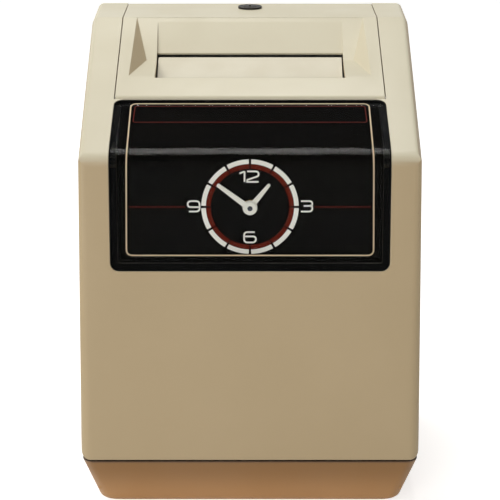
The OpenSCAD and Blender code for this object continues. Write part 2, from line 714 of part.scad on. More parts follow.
module drive_motor() color("#9fa3a3") difference() {
  union() {
    rod_x(motor_x - motor_len, motor_x + eps, motor_yz, motor_r);
    along_x(motor_x, motor_x + motor_plate, motor_yz[0], motor_yz[1])
      polygon(rounded([[-motor_ear, -motor_r - ear_out], [motor_ear, -motor_r - ear_out],
                       [motor_ear, motor_r + ear_out], [-motor_ear, motor_r + ear_out]], [4, 4, 4, 4]));
    rod_x(-frame_x - sheet - eps, -frame_x + 0.5, motor_yz, motor_boss_r);
  }
  rod_x(-frame_x - sheet - 7, big, motor_yz, 1.5 + run_fit);
  for (s = [-1, 1]) rod_x(-big, big, motor_yz + [0, s * (motor_r + 3)], 1.6);
}
// Mitre gear outline that narrows towards the point where the two axes cross
module mitre(phase) linear_extrude(mitre_face, scale = 1 - mitre_face / mitre_r)
  polygon(gear_points(mitre_n, mitre_m, phase));
module mitre_boss() translate([0, 0, -mitre_hub]) cylinder(h = mitre_hub + eps, r = mitre_hub_r);
module arbor_mitre() color("#c8a951") difference() {
  translate([0, type_yz[0] - mitre_r, dial_z]) rotate([-90, 0, 0]) {
    mitre(0);
    mitre_boss();
  }
  rod_y(-big, type_yz[0] - mitre_r, [0, dial_z], arbor_r);
}
module shaft_mitre() color("#c8a951") difference() {
  translate([mitre_r, type_yz[0], dial_z]) rotate([0, -90, 0]) {
    mitre(-90 + 180 / mitre_n);
    mitre_boss();
  }
  rod_x(-big, big, type_yz, shaft_r);
}
// Outline of a knob with n grooves round its rim
module knurl(r, n, groove) polygon([for (i = [0 : 4 * n - 1])
  (r + groove * cos(i * 90)) * [cos(i * 90 / n), sin(i * 90 / n)]]);
knob_r = 11;
knob_w = 6;
knob_x = drive_x + drive_w + 4.5;
module setting_knob() color("#2b2b2c") difference() {
  union() {
    along_x(knob_x, knob_x + knob_w, type_yz[0], type_yz[1]) knurl(knob_r, 18, 0.5);
    rod_x(knob_x + knob_w - eps, knob_x + knob_w + 4, type_yz, 5);
  }
  rod_x(-big, big, type_yz, shaft_r);
}
// Rim of a type wheel: n raised blocks of type round it
function type_points(n, share) = [for (k = [0 : n - 1]) each
  let (a = 360 * k / n, w = 180 / n * share, g = 180 / n * (1 - share))
  concat([for (s = [-1, 1]) type_r * [cos(a + s * w), sin(a + s * w)]],
         [for (i = [0 : 2]) let (b = a + w + 360 / n * 0.04 + i * (g * 2 - 360 / n * 0.08) / 2)
           (type_r - 1.4) * [cos(b), sin(b)]])];
module type_wheel(i, n, bore) {
  difference() {
    along_x(type_x + i * type_pitch, type_x + i * type_pitch + type_w, type_yz[0], type_yz[1])
      polygon(type_points(n, 0.6));
    rod_x(-big, big, type_yz, bore);
  }
}
module minute_type_wheel() color("#9b9d9c") type_wheel(0, 60, shaft_r);
module hour_type_wheel() color("#9b9d9c") difference() {
  union() {
    type_wheel(1, 12, shaft_r + run_fit);
    rod_x(type_x + type_pitch + type_w - eps, hour_gear_x + wheel_w, type_yz, sleeve_r);
    along_x(hour_gear_x, hour_gear_x + wheel_w, type_yz[0], type_yz[1])
      gear(high_wheel_n, lay_a + 180 / high_wheel_n);
  }
  rod_x(-big, big, type_yz, shaft_r + run_fit);
}
module date_type_wheel() color("#9b9d9c") type_wheel(2, 31, sleeve_r + run_fit);
module lay_stud() color("#8c8f90") rod_x(hour_gear_x - 0.8, frame_x, lay_yz, stud_r);
module lay_wheel() color("#c8a951") difference() {
  union() {
    along_x(low_gear_x, low_gear_x + wheel_w, lay_yz[0], lay_yz[1])
      gear(low_wheel_n, lay_a + 180 + 180 / low_wheel_n);
    along_x(hour_gear_x - 0.3, low_gear_x + eps, lay_yz[0], lay_yz[1]) gear(high_n, lay_a + 180);
  }
  rod_x(0, big, lay_yz, stud_r + run_fit);
}

// Ribbon: a wide inked band from the upper spool, past the type, to the lower spool
ribbon_x = type_x + type_pitch + type_w / 2;
spool_rise = 31.5;
spool_y = type_yz[0] + 6;
pack_r = 8.5;
spindle_r = 2;
guide_r = 1.5;
guide_rise = 23.5;
guide_y = ribbon_back_y - ribbon_t - 0.1 - guide_r;
// Upper half of the ribbon's path at a distance out from guide and pack
function ribbon_path(out) =
  let (d = [spool_y - guide_y, spool_rise - guide_rise],
       a = atan2(d[1], d[0]) - acos((guide_r - pack_r - 0.25) / norm(d)))
  concat([for (i = [0 : 8]) [guide_y, guide_rise] + (guide_r + 0.1 + out) * [cos(a * i / 8), sin(a * i / 8)]],
         [[spool_y, spool_rise] + (pack_r + 0.35 + out) * [cos(a), sin(a)]]);
function turned(pts) = [for (i = [len(pts) - 1 : -1 : 0]) pts[i]];
function flipped(pts) = [for (p = pts) [p[0], -p[1]]];
module ribbon() color("#1b1a22") along_x(ribbon_x - ribbon_w / 2, ribbon_x + ribbon_w / 2, 0, dial_z)
  polygon(concat(turned(flipped(ribbon_path(0))), ribbon_path(0),
                 turned(ribbon_path(ribbon_t)), flipped(ribbon_path(ribbon_t))));
module ribbon_rods() color("#8c8f90") for (s = [-1, 1]) {
  rod_x(ribbon_x - ribbon_w / 2 - 3, frame_x, [spool_y, dial_z + s * spool_rise], spindle_r);
  rod_x(ribbon_x - ribbon_w / 2 - 3, frame_x, [guide_y, dial_z + s * guide_rise], guide_r);
}
module spool(z) {
  half = ribbon_w / 2 + 0.4;
  translate([ribbon_x, spool_y, z]) rotate([0, 90, 0]) rotate_extrude()
    polygon([[spindle_r + run_fit, -half - 1], [spool_r, -half - 1], [spool_r, -half], [pack_r, -half],
             [pack_r, half], [spool_r, half], [spool_r, half + 1], [spindle_r + run_fit, half + 1]]);
}
module upper_spool() color("#3a3c3e") spool(dial_z + spool_rise);
module lower_spool() color("#3a3c3e") spool(dial_z - spool_rise);

// Card chute: two steel plates and the rails between them
tub_wall = 2.2;
chute_low = seam_z + 12;
wide_top = bend_z + 14;
lip_top = on_slope((card_front_y - front_y - lip_depth * sin(slope_a)) / cos(slope_a), -lip_depth);
lip_front_l = pocket_front_l - 2;
lip_half = pocket_half - 0.7;
print_x = [ribbon_x - ribbon_w / 2 - 0.6, ribbon_x + ribbon_w / 2 + 0.6];
print_half = 11;
hammer_window = [16, 15];
nose_window = [11, 9];
trigger_x = -40;
stop_slit = 4;
chute_rear_top = on_slope(slot_l, -slot_depth - tub_wall)[1] - 2;
module chute_front() color("#cfc4a2") difference() {
  union() {
    box([-frame_x, card_front_y - chute_t, chute_low], [frame_x, card_front_y, wide_top]);
    along_x(-lip_half, lip_half)
      polygon([[card_front_y - chute_t, wide_top - 1], [card_front_y, wide_top - 1], lip_top,
               on_slope(lip_front_l, -lip_depth), on_slope(lip_front_l, -lip_depth - chute_t),
               [card_front_y - chute_t, lip_top[1] - chute_t * (tan(slope_a) + 1 / cos(slope_a))]]);
  }
  box([print_x[0], -big, dial_z - print_half], [print_x[1], big, dial_z + print_half]);
}
module chute_rear() color("#b4b6b4") difference() {
  box([-frame_x, card_back_y, chute_low], [frame_x, card_back_y + chute_t, chute_rear_top]);
  box([print_x[0], -big, dial_z - hammer_window[0]], [print_x[1], big, dial_z + hammer_window[1]]);
  box([trigger_x - 3, -big, nose_z - nose_window[0]], [trigger_x + 3, big, nose_z + nose_window[1]]);
  box([-stop_slit, -big, stop_z - stop_h - 4], [stop_slit, big, stop_z + stop_travel + 6]);
}
module chute_rails() color("#c7bfa6") mirrored()
  box([card_half, card_front_y, chute_low], [card_half + 1.4, card_back_y, chute_rear_top]);
// Card stop: a bar in the card's passage, a neck through the rear plate and a block with a thumb knob
stop_z = seam_z + 39;
stop_travel = 25;
stop_half = 18;
stop_h = 10;
stop_gap = 0.3;
stop_neck = stop_slit - 0.4;
stop_block = 12;
stop_knob_r = 6;
stop_knob_w = 5;
module card_stop() color("#8c8f90") {
  rear_y = card_back_y + chute_t;
  knob_y = rear_y + 6;
  box([-stop_half, card_front_y + stop_gap, stop_z - stop_h], [stop_half, card_back_y - stop_gap, stop_z]);
  box([-stop_neck, card_back_y - stop_gap - eps, stop_z - stop_h + 2],
      [stop_neck, rear_y + stop_gap + eps, stop_z - 2]);
  box([-stop_block, rear_y + stop_gap, stop_z - stop_h - 2], [stop_block, knob_y, stop_z + 2]);
  along_y(knob_y - eps, knob_y + stop_knob_w, 0, stop_z - stop_h / 2) knurl(stop_knob_r, 12, 0.3);
}

// Hammer: a bell crank that the solenoid pulls, striking the card against ribbon and type
hammer_drop = 33.2;
hammer_share = 0.284;
hammer_yz = [card_back_y + hammer_share * (back_y - card_back_y), dial_z - hammer_drop];
hammer_shaft_r = 3;
hammer_hub_r = 5.5;
coil_r = 12;
coil_h = 26;
coil_gap = 1.5;
yoke_t = 2;
tail_a = hammer_swing / 2;
link_y = back_y - sheet - yoke_t - coil_gap - coil_r;
tail_len = (link_y - hammer_yz[0]) / cos(tail_a);
link_z = hammer_yz[1] - tail_len * sin(tail_a);
link_pin_r = 1.25;
pad_y = ribbon_back_y + 0.6 - hammer_yz[0];
head_h = 8;
module hammer_shaft() color("#8c8f90") rod_x(-frame_x - sheet, frame_x + sheet, hammer_yz, hammer_shaft_r);
// Turns pieces drawn at the strike back to rest
module at_rest() { translate([0, hammer_yz[0], hammer_yz[1]]) rotate([-hammer_swing, 0, 0]) children(); }
module hammer_arm() color("#85898b") at_rest() difference() {
  union() {
    rod_x(ribbon_x - 8, ribbon_x + 8, [0, 0], hammer_hub_r);
    along_x(ribbon_x - 3.5, ribbon_x + 3.5)
      polygon([[-4.5, 0], [4.5, 0], [pad_y + 7.5, hammer_drop + 5], [pad_y + 3.5, hammer_drop + 5],
               [pad_y + 3.5, hammer_drop - 5]]);
    box([ribbon_x - ribbon_w / 2 + 1, pad_y + 2, hammer_drop - head_h],
        [ribbon_x + ribbon_w / 2 - 1, pad_y + 5.5, hammer_drop + head_h]);
    rotate([tail_a, 0, 0]) {
      box([ribbon_x - 1.5, 0, -2.5], [ribbon_x + 1.5, tail_len, 2.5]);
      rod_x(ribbon_x - 1.5, ribbon_x + 1.5, [tail_len, 0], 2.5);
      rod_x(ribbon_x - 4.2, ribbon_x + 4.2, [tail_len, 0], link_pin_r);
    }
  }
  rod_x(-big, big, [0, 0], hammer_shaft_r + run_fit);
}
module hammer_pad() color("#2a2622") at_rest()
  box([ribbon_x - ribbon_w / 2 + 1, pad_y, hammer_drop - head_h],
      [ribbon_x + ribbon_w / 2 - 1, pad_y + 2, hammer_drop + head_h]);
plunger_r = 4.5;
collar_z = link_z + 6;
collar_t = 1.5;
yoke_rise = 17.2;
yoke_z = link_z + yoke_rise;
plunger_in = 18;
fork_low = 4;
module solenoid_plunger() color("#9a9d9f") difference() {
  union() {
    rod_z(link_z - fork_low, yoke_z + plunger_in, [ribbon_x, link_y], plunger_r);
    rod_z(collar_z, collar_z + collar_t, [ribbon_x, link_y], plunger_r + 2.5);
  }
  box([ribbon_x - 1.8, -big, link_z - 10], [ribbon_x + 1.8, big, link_z + 4.5]);
  rod_x(-big, big, [link_y, link_z], link_pin_r + 0.35);
}
module solenoid_yoke() color("#a5a8a8") {
  half = coil_r + 1;
  difference() {
    union() {
      for (z = [yoke_z, yoke_z + yoke_t + coil_h])
        box([ribbon_x - half, link_y - half, z], [ribbon_x + half, back_y - sheet, z + yoke_t]);
      box([ribbon_x - half, back_y - sheet - yoke_t, yoke_z],
          [ribbon_x + half, back_y - sheet, yoke_z + 2 * yoke_t + coil_h]);
    }
    rod_z(0, yoke_z + 10, [ribbon_x, link_y], plunger_r + 0.4);
  }
}
module solenoid_coil() color("#8c3f22") difference() {
  rod_z(yoke_z + yoke_t, yoke_z + yoke_t + coil_h, [ribbon_x, link_y], coil_r);
  rod_z(0, big, [ribbon_x, link_y], plunger_r + 0.4);
}
// Coil spring round the plunger, from its collar to the yoke
spring_r = plunger_r + 1.3;
spring_wire = 0.45;
spring_turns = 5;
spring_seat = 0.05;
module plunger_spring() color("#b8babb")
  translate([ribbon_x, link_y, collar_z + collar_t + spring_wire + spring_seat]) {
  rise = yoke_z - collar_z - collar_t - 2 * spring_wire - 2 * spring_seat;
  steps = 24 * spring_turns;
  sides = 8;
  lean = atan2(rise, spring_turns * 2 * PI * spring_r);
  rings = [for (i = [0 : steps]) let (a = i * 360 / 24) [for (j = [0 : sides - 1])
    let (b = j * 360 / sides, out = spring_wire * cos(b), up = spring_wire * sin(b))
    [(spring_r + out) * cos(a) + up * sin(lean) * sin(a), (spring_r + out) * sin(a) - up * sin(lean) * cos(a),
     rise * i / steps + up * cos(lean)]]];
  middle = [for (i = [0 : steps]) let (a = i * 360 / 24)
    [spring_r * cos(a), spring_r * sin(a), rise * i / steps]];
  apart = min([for (i = [0 : steps - 12], j = [i + 12 : steps]) norm(middle[i] - middle[j])]);
  echo("Least gap between the spring's turns, mm", apart - 2 * spring_wire);
  polyhedron(points = [for (r = rings) each r],
    faces = concat([[for (j = [0 : sides - 1]) j]],
      [for (i = [0 : steps - 1], j = [0 : sides - 1])
        [i * sides + j, (i + 1) * sides + j, (i + 1) * sides + (j + 1) % sides, i * sides + (j + 1) % sides]],
      [[for (j = [sides - 1 : -1 : 0]) steps * sides + j]]));
}

// Card trigger on the hammer's shaft: the card pushes its nose back and its tail lifts to the switch
nose_drop = 15;
nose_z = hammer_yz[1] - nose_drop;
nose = [card_front_y + 0.5, nose_z] - hammer_yz;
// Outer corners of the trigger's tail, from its pivot
tail_low = [15.5, 7];
tail_high = [13.5, 10];
tail_r = 1.5;
module card_trigger() color("#8c8f90") translate([0, hammer_yz[0], hammer_yz[1]]) difference() {
  union() {
    rod_x(-frame_x + 3, trigger_x + 3, [0, 0], hammer_hub_r);
    along_x(trigger_x - 2, trigger_x + 2)
      polygon([[-2, 4], [-4.5, -3], nose + [1, -1.8], nose + [0, -0.4], nose + [2.2, 1.6]]);
    along_x(-frame_x + 3.5, -frame_x + 7.5)
      polygon(rounded([[-1, -4.5], tail_low, tail_high, [-4, 3]], [0, tail_r, tail_r, 0]));
  }
  rod_x(-big, big, [0, 0], hammer_shaft_r + run_fit);
}
// Switch body on the left frame, with its button over the trigger's tail
switch_size = [10.5, 20, 12];
switch_yz = hammer_yz + [6, 13];
button_r = 1.2;
module card_switch() color("#33363a") {
  corner = [-frame_x, switch_yz[0], switch_yz[1]];
  box(corner, corner + switch_size);
  rod_z(switch_yz[1] - 0.5, switch_yz[1] + eps, [-frame_x + 5.5, switch_yz[0] + 8], button_r);
}

// Lid: one moulding from the hinge roll to the back lip, with the card hopper let into it
lid_lip_z = plate_top + 0.9;
hopper_turn = atan2(2, slope_len - hopper_front_l);
nose_end = asin((hinge_r - lid_wall) / hinge_r);
function hinge_roll() = [for (i = [0 : 24]) let (a = 90 + (270 + nose_end) * i / 24)
  on_slope(hinge_l + hinge_r * cos(a), -hinge_r + hinge_r * sin(a))];
module lid_section() polygon(rounded(
  concat(hinge_roll(), [fold_in(lid_wall), [back_y - lid_wall, top_z - lid_wall],
                        [back_y - lid_wall, lid_lip_z], [back_y, lid_lip_z], [back_y, top_z], fold_in(0)]),
  concat([for (i = [0 : 24]) 0], [0, 0, 0, 0, edge_r / 2, edge_r / 2])));
// The wedge between the leaning side walls of the hopper, grown by g
module hopper_sides(g) intersection() { hopper_side(g); mirror([1, 0, 0]) hopper_side(g); }
module hopper_side(g) slope_frame() translate([hopper_half + g, hopper_front_l, 0])
  rotate([0, 0, hopper_turn]) rotate([90, 0, 0]) translate([0, 0, -big / 2]) linear_extrude(big)
    polygon([[-big, big], [0, big], [0, 0], [-3 * hopper_side_run, -3 * hopper_depth],
             [-big, -3 * hopper_depth]]);
module hopper_void() intersection() {
  along_x(-case_w, case_w)
    polygon([on_slope(hopper_front_l, 0), on_slope(hopper_valley_l, -hopper_depth),
             on_slope(slope_len - 0.4, -0.1), on_slope(slope_len - 0.4, 20), on_slope(hopper_front_l, 20)]);
  hopper_sides(0);
}
module hopper_tub() intersection() {
  along_x(-case_w, case_w)
    polygon([on_slope(hopper_front_l - 4, -lid_wall + 0.6),
             on_slope(hopper_valley_l - 1, -hopper_depth - tub_wall),
             on_slope(hopper_valley_l + 1, -hopper_depth - tub_wall - slot_dip),
             on_slope(slope_len + 4, -tub_wall - slot_dip),
             on_slope(slope_len + 4, -lid_wall + 0.6)]);
  hopper_sides(tub_wall);
}
slot_edge = 0.8;
slot_under = on_slope(slot_l, -slot_depth - slot_edge);
module access_lid() color("#d9cfae") difference() {
  intersection() {
    union() {
      along_x(-case_w, case_w) lid_section();
      hopper_tub();
    }
    strip_column(0, on_slope(hinge_l - 2 * hinge_r, 0)[0], bend_z);
  }
  hopper_void();
  slope_frame() box([-pocket_half, pocket_front_l, -40], [pocket_half, slot_l, 40]);
  along_x(-pocket_half, pocket_half)
    polygon([on_slope(slope_len - 3, -3 * floor_fall), on_slope(slot_l - 2, -slot_depth - 2 * floor_fall),
             on_slope(slot_l - 2, 10), on_slope(slope_len - 3, 10)]);
  box([-pocket_half, slot_under[0] - 2, slot_under[1] - hopper_depth],
      [pocket_half, slot_under[0] + hopper_depth, slot_under[1]]);
  mirrored() rod_x(hinge_half - pin_reach - 0.5, big, hinge_yz, hinge_pin_r + run_fit);
  rod_z(lid_lip_z, big, [0, lock_yz[0]], lock_r - 1);
}
// Lock: barrel in the lid, held by a nut, with the key plug and its cam
plug_r = 3.4;
module lock_barrel() color("#4a4a48") difference() {
  union() {
    rod_z(top_z, top_z + 1, [0, lock_yz[0]], lock_r);
    rod_z(lock_low, top_z + eps, [0, lock_yz[0]], lock_r - 1);
  }
  rod_z(0, big, [0, lock_yz[0]], plug_r + run_fit);
}
module lock_nut() color("#9a9b98") difference() {
  translate([0, lock_yz[0], top_z - lid_wall - 3]) cylinder(h = 3, r = lock_r + 2, $fn = 6);
  rod_z(0, big, [0, lock_yz[0]], lock_r - 1);
}
module lock_plug() color("#5c5b58") difference() {
  rod_z(lock_low - 0.3 - cam_t - 0.8, top_z + 1.2, [0, lock_yz[0]], plug_r);
  box([-0.5, lock_yz[0] - 2.2, top_z - 4], [0.5, lock_yz[0] + 2.2, big]);
}
module lock_cam() color("#9a9b98") difference() {
  translate([0, 0, lock_low - 0.3 - cam_t]) linear_extrude(cam_t)
    translate([0, lock_yz[0]])
      polygon(rounded([[-5, -4], [cam_reach, -4], [cam_reach, 4], [-5, 4]], [3, 2, 2, 3]));
  rod_z(0, big, [0, lock_yz[0]], plug_r);
}

base_tray();
rubber_feet();
case_shell();
face_lens();
lens_gasket();
dial_tray();
back_plate();
left_frame();
right_frame();
frame_spacers();
movement_bridge();
movement_front_plate();
movement_pillars();
motion_stud();
drive_motor();
shaft_bushes();
lay_stud();
chute_front();
chute_rear();
chute_rails();
ribbon_rods();
ribbon();
hammer_shaft();
solenoid_yoke();
solenoid_coil();
card_switch();
cord_grommet();
terminal_block();
frame_screws();
case_screws();
lid_hinge_pins();
plunger_spring();
access_lid();
lock_barrel();
lock_nut();
lock_plug();
lock_cam();
type_shaft();
drive_wheel();
shaft_mitre();
minute_type_wheel();
setting_knob();
motor_pinion();
center_arbor();
arbor_mitre();
minute_hand();
motion_wheel();
hour_wheel();
hour_hand();
lay_wheel();
hour_type_wheel();
date_type_wheel();
hammer_arm();
hammer_pad();
solenoid_plunger();
card_trigger();
upper_spool();
lower_spool();
card_stop();
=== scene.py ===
# %% [markdown]
# A mechanical time clock
# The object is a sloped plastic case with a glazed black face, a locking lid with a card hopper, and the clock and
# printing works inside. The solids come from the imported frame at their real size and place. This lesson gives
# each of them its finish. It then adds what is printed on the face, the cloth of the ribbon, and a coil spring.

# %% Load the frame
import json
import math
import bpy
import bmesh
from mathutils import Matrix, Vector


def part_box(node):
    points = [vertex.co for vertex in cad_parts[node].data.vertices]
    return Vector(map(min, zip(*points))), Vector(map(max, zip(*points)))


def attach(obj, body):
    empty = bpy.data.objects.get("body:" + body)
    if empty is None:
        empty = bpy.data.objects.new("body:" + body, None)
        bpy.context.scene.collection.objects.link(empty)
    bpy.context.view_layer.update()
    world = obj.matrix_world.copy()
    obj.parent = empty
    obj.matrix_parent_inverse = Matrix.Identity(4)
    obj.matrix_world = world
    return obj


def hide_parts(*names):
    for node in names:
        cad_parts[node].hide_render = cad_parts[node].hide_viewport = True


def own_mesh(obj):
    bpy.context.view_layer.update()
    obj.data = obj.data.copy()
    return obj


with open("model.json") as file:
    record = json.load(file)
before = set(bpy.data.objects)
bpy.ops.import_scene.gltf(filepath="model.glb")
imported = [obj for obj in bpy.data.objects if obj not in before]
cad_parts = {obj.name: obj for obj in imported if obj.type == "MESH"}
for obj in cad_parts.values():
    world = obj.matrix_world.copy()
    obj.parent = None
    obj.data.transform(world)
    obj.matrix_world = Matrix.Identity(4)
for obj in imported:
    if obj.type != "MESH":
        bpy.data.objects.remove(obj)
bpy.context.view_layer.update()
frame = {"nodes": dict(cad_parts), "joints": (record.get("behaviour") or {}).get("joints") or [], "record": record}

MM = 0.001
nodes = frame["nodes"]


def joint(name):
    """The frame's row for a joint."""
    return next(row for row in frame["joints"] if row["name"] == name)


def link_object(name, data):
    """A new object in the scene."""
    made = bpy.data.objects.new(name, data)
    bpy.context.scene.collection.objects.link(made)
    return made


# %% [markdown]
# The camera stands where the photographer stood: straight in front, a little above, far away with a
# long lens. A long lens keeps the upright edges nearly parallel, so distance and focal length are
# a pair: changing one without the other would change the taper of the case.

# %% Camera
AIM_HEIGHT = 108.1 * MM
CAMERA_RISE = math.radians(15.7)
CAMERA_DISTANCE = 1107.6 * MM
CAMERA_LENS = 160.9
SENSOR = 36.0


def point_along(thing, direction):
    """Turns a camera or a lamp so that it looks along a direction."""
    thing.rotation_euler = direction.to_track_quat("-Z", "Y").to_euler()


def make_camera():
    data = bpy.data.cameras.new("camera")
    data.lens = CAMERA_LENS
    data.sensor_width = SENSOR
    camera = link_object("camera", data)
    back = Vector((0, -math.cos(CAMERA_RISE), math.sin(CAMERA_RISE)))
    camera.location = Vector((0, 0, AIM_HEIGHT)) + back * CAMERA_DISTANCE
    point_along(camera, -back)
    bpy.context.scene.camera = camera
    return camera


camera = make_camera()
print("camera at", [round(v, 3) for v in camera.location])

# %% [markdown]
# Shader trees are easier to read when adding a node and filling its sockets is one call. A socket
# given as a value gets a link, and a plain number or colour is written on the socket itself. In a call, the
# name of a socket has an underscore for each space.

# %% Shader helpers


def linear(value):
    """A display value from 0 to 255 as a share of light. The curve starts straight and goes on as a power."""
    share = value / 255
    return share / 12.92 if value <= 10 else ((share + 0.055) / 1.055) ** 2.4


def srgb(red, green, blue):
    """A colour written in display values, as the linear colour that shaders use."""
    return (linear(red), linear(green), linear(blue), 1.0)


def fill(tree, made, **sockets):
    """Fills a node's sockets by name, or by number where names repeat, as in _0."""
    for key, value in sockets.items():
        socket = made.inputs[int(key[1:])] if key[0] == "_" else made.inputs[key.replace("_", " ")]
        if isinstance(value, bpy.types.NodeSocket):
            tree.links.new(value, socket)
        else:
            socket.default_value = value
    return made


def add(tree, kind, settings=None, **sockets):
    """Adds a shader node, sets its options and fills the named sockets."""
    made = tree.nodes.new("ShaderNode" + kind)
    for key, value in (settings or {}).items():
        setattr(made, key, value)
    return fill(tree, made, **sockets)


def blend_colour(tree, share, first, second):
    """Mixes two colours by a share from 0 to 1."""
    return add(tree, "Mix", {"data_type": "RGBA"}, _0=share, _6=first, _7=second).outputs[2]


def spread(tree, value, low, high, to_low=0.0, to_high=1.0):
    """Maps a range of values smoothly onto another."""
    ramp = add(tree, "MapRange", {"interpolation_type": "SMOOTHSTEP"}, Value=value)
    return fill(tree, ramp, From_Min=low, From_Max=high, To_Min=to_low, To_Max=to_high).outputs[0]


def calc(tree, operation, first, second):
    return add(tree, "Math", {"operation": operation}, _0=first, _1=second).outputs[0]


def part_of(tree, mask, share):
    """A mask at a share of its strength."""
    return calc(tree, "MULTIPLY", mask, share)


def relief(tree, height, distance, normal=None):
    """The normal of a surface that rises by the height. A normal that is given is the surface's own one."""
    bump = add(tree, "Bump", Height=height, Distance=distance)
    if normal is not None:
        fill(tree, bump, Normal=normal)
    return bump.outputs[0]


def new_group(name, inputs, outputs):
    """An empty shader group. Inputs map a name to a socket type and a value, and outputs to a type alone."""
    group = bpy.data.node_groups.new(name, "ShaderNodeTree")
    for key, (kind, value) in inputs.items():
        socket = group.interface.new_socket(key, in_out="INPUT", socket_type="NodeSocket" + kind)
        socket.default_value = value
    for key, kind in outputs.items():
        group.interface.new_socket(key, in_out="OUTPUT", socket_type="NodeSocket" + kind)
    return group, group.nodes.new("NodeGroupInput"), group.nodes.new("NodeGroupOutput")


def use(tree, group, **values):
    """Places a group in a material with its own values."""
    placed = tree.nodes.new("ShaderNodeGroup")
    placed.node_tree = group
    return fill(tree, placed, **values).outputs


def show(tree, shader):
    """Sends a shader to the material's output."""
    out = next(n for n in tree.nodes if n.bl_idname == "ShaderNodeOutputMaterial")
    fill(tree, out, Surface=shader.outputs[0])


def new_material(name):
    material = bpy.data.materials.new(name)
    material.use_nodes = True
    tree = material.node_tree
    tree.nodes.clear()
    surface = add(tree, "BsdfPrincipled")
    add(tree, "OutputMaterial")
    show(tree, surface)
    return material, tree, surface


print("helpers ready")

# %% [markdown]
# Moulded and pressed edges are never knife sharp. Rounding each one in the mesh would mean a bevel
# on every solid, so the rounding is done on the shading normal, with the bevel node. The same node tells
# where the edges are: its normal leaves the true one there, and that difference is a mask for rubbed edges.

# %% Group: soft edges
BEVEL_SAMPLES = 6
EDGE_COSINES = (0.985, 0.80)


def make_soft_edges():
    group, start, end = new_group(
        "soft_edges", {"Radius": ("Float", 0.4 * MM)}, {"Normal": "Vector", "Edge": "Float"}
    )
    rounded = add(group, "Bevel", {"samples": BEVEL_SAMPLES}, Radius=start.outputs["Radius"]).outputs[0]
    true_normal = add(group, "NewGeometry").outputs["Normal"]
    same = add(group, "VectorMath", {"operation": "DOT_PRODUCT"}, _0=rounded, _1=true_normal)
    fill(group, end, Normal=rounded, Edge=spread(group, same.outputs["Value"], *EDGE_COSINES))
    return group


soft_edges = make_soft_edges()
print("group", soft_edges.name)

# %% [markdown]
# Moulded plastic has a fine spark-eroded grain from its tool, and large soft clouds of colour where it
# has aged unevenly. A picture of a grain would have to be wrapped round every piece. One group gives both
# from two noises of very different scale in the object's own coordinates, so the pattern keeps its real size.

# %% Group: mould grain
GRAIN_SCALE, CLOUD_SCALE = 2200.0, 22.0
GRAIN_DETAIL, CLOUD_DETAIL = 2.0, 4.0
CLOUD_RANGE = (0.3, 0.7)


def make_mould_grain():
    group, start, end = new_group(
        "mould_grain",
        {"Grain Scale": ("Float", GRAIN_SCALE), "Cloud Scale": ("Float", CLOUD_SCALE)},
        {"Height": "Float", "Cloud": "Float"},
    )
    place = add(group, "TexCoord").outputs["Object"]
    grain = add(group, "TexNoise", Vector=place, Scale=start.outputs["Grain Scale"], Detail=GRAIN_DETAIL)
    cloud = add(group, "TexNoise", Vector=place, Scale=start.outputs["Cloud Scale"], Detail=CLOUD_DETAIL)
    clouds = spread(group, cloud.outputs["Fac"], *CLOUD_RANGE)
    fill(group, end, Height=grain.outputs["Fac"], Cloud=clouds)
    return group


mould_grain = make_mould_grain()
print("group", mould_grain.name)

# %% [markdown]
# Sheet metal leaves the rolling mill with long fine lines. They are a noise stretched along one
# direction, used both as relief and to vary the roughness. A stretch that differs from metal to metal makes
# turned and cast skins with the same group.

# %% Group: rolled lines
ROLLED = (60.0, 1500.0, 1500.0)
LINE_DETAIL = 3.0
STREAK_RANGE = (0.35, 0.7)


def make_rolled_lines():
    group, start, end = new_group(
        "rolled_lines", {"Stretch": ("Vector", ROLLED)}, {"Height": "Float", "Streak": "Float"}
    )
    place = add(group, "TexCoord").outputs["Object"]
    drawn = add(group, "VectorMath", {"operation": "MULTIPLY"}, _0=place, _1=start.outputs["Stretch"])
    lines = add(group, "TexNoise", Vector=drawn.outputs[0], Scale=1.0, Detail=LINE_DETAIL).outputs["Fac"]
    fill(group, end, Height=lines, Streak=spread(group, lines, *STREAK_RANGE))
    return group


rolled_lines = make_rolled_lines()
print("group", rolled_lines.name)

# %% [markdown]
# Dust settles on what faces up. The group takes the upward part of the normal and breaks it with
# noise. It goes on the metal works, which stand for years in a case that is open at the lid's seams.

# %% Group: settled dust
DUST_SCALE, DUST_DETAIL = 90.0, 5.0
DUST_LEAN = (0.3, 0.95)
DUST_PATCHES = (0.42, 0.66)


def make_settled_dust():
    group, start, end = new_group("settled_dust", {"Scale": ("Float", DUST_SCALE)}, {"Dust": "Float"})
    own = add(group, "TexCoord").outputs
    up = add(group, "SeparateXYZ", Vector=own["Normal"]).outputs["Z"]
    noise = add(group, "TexNoise", Vector=own["Object"], Scale=start.outputs["Scale"], Detail=DUST_DETAIL)
    patches = spread(group, noise.outputs["Fac"], *DUST_PATCHES)
    fill(group, end, Dust=calc(group, "MULTIPLY", spread(group, up, *DUST_LEAN), patches))
    return group


settled_dust = make_settled_dust()
print("group", settled_dust.name)
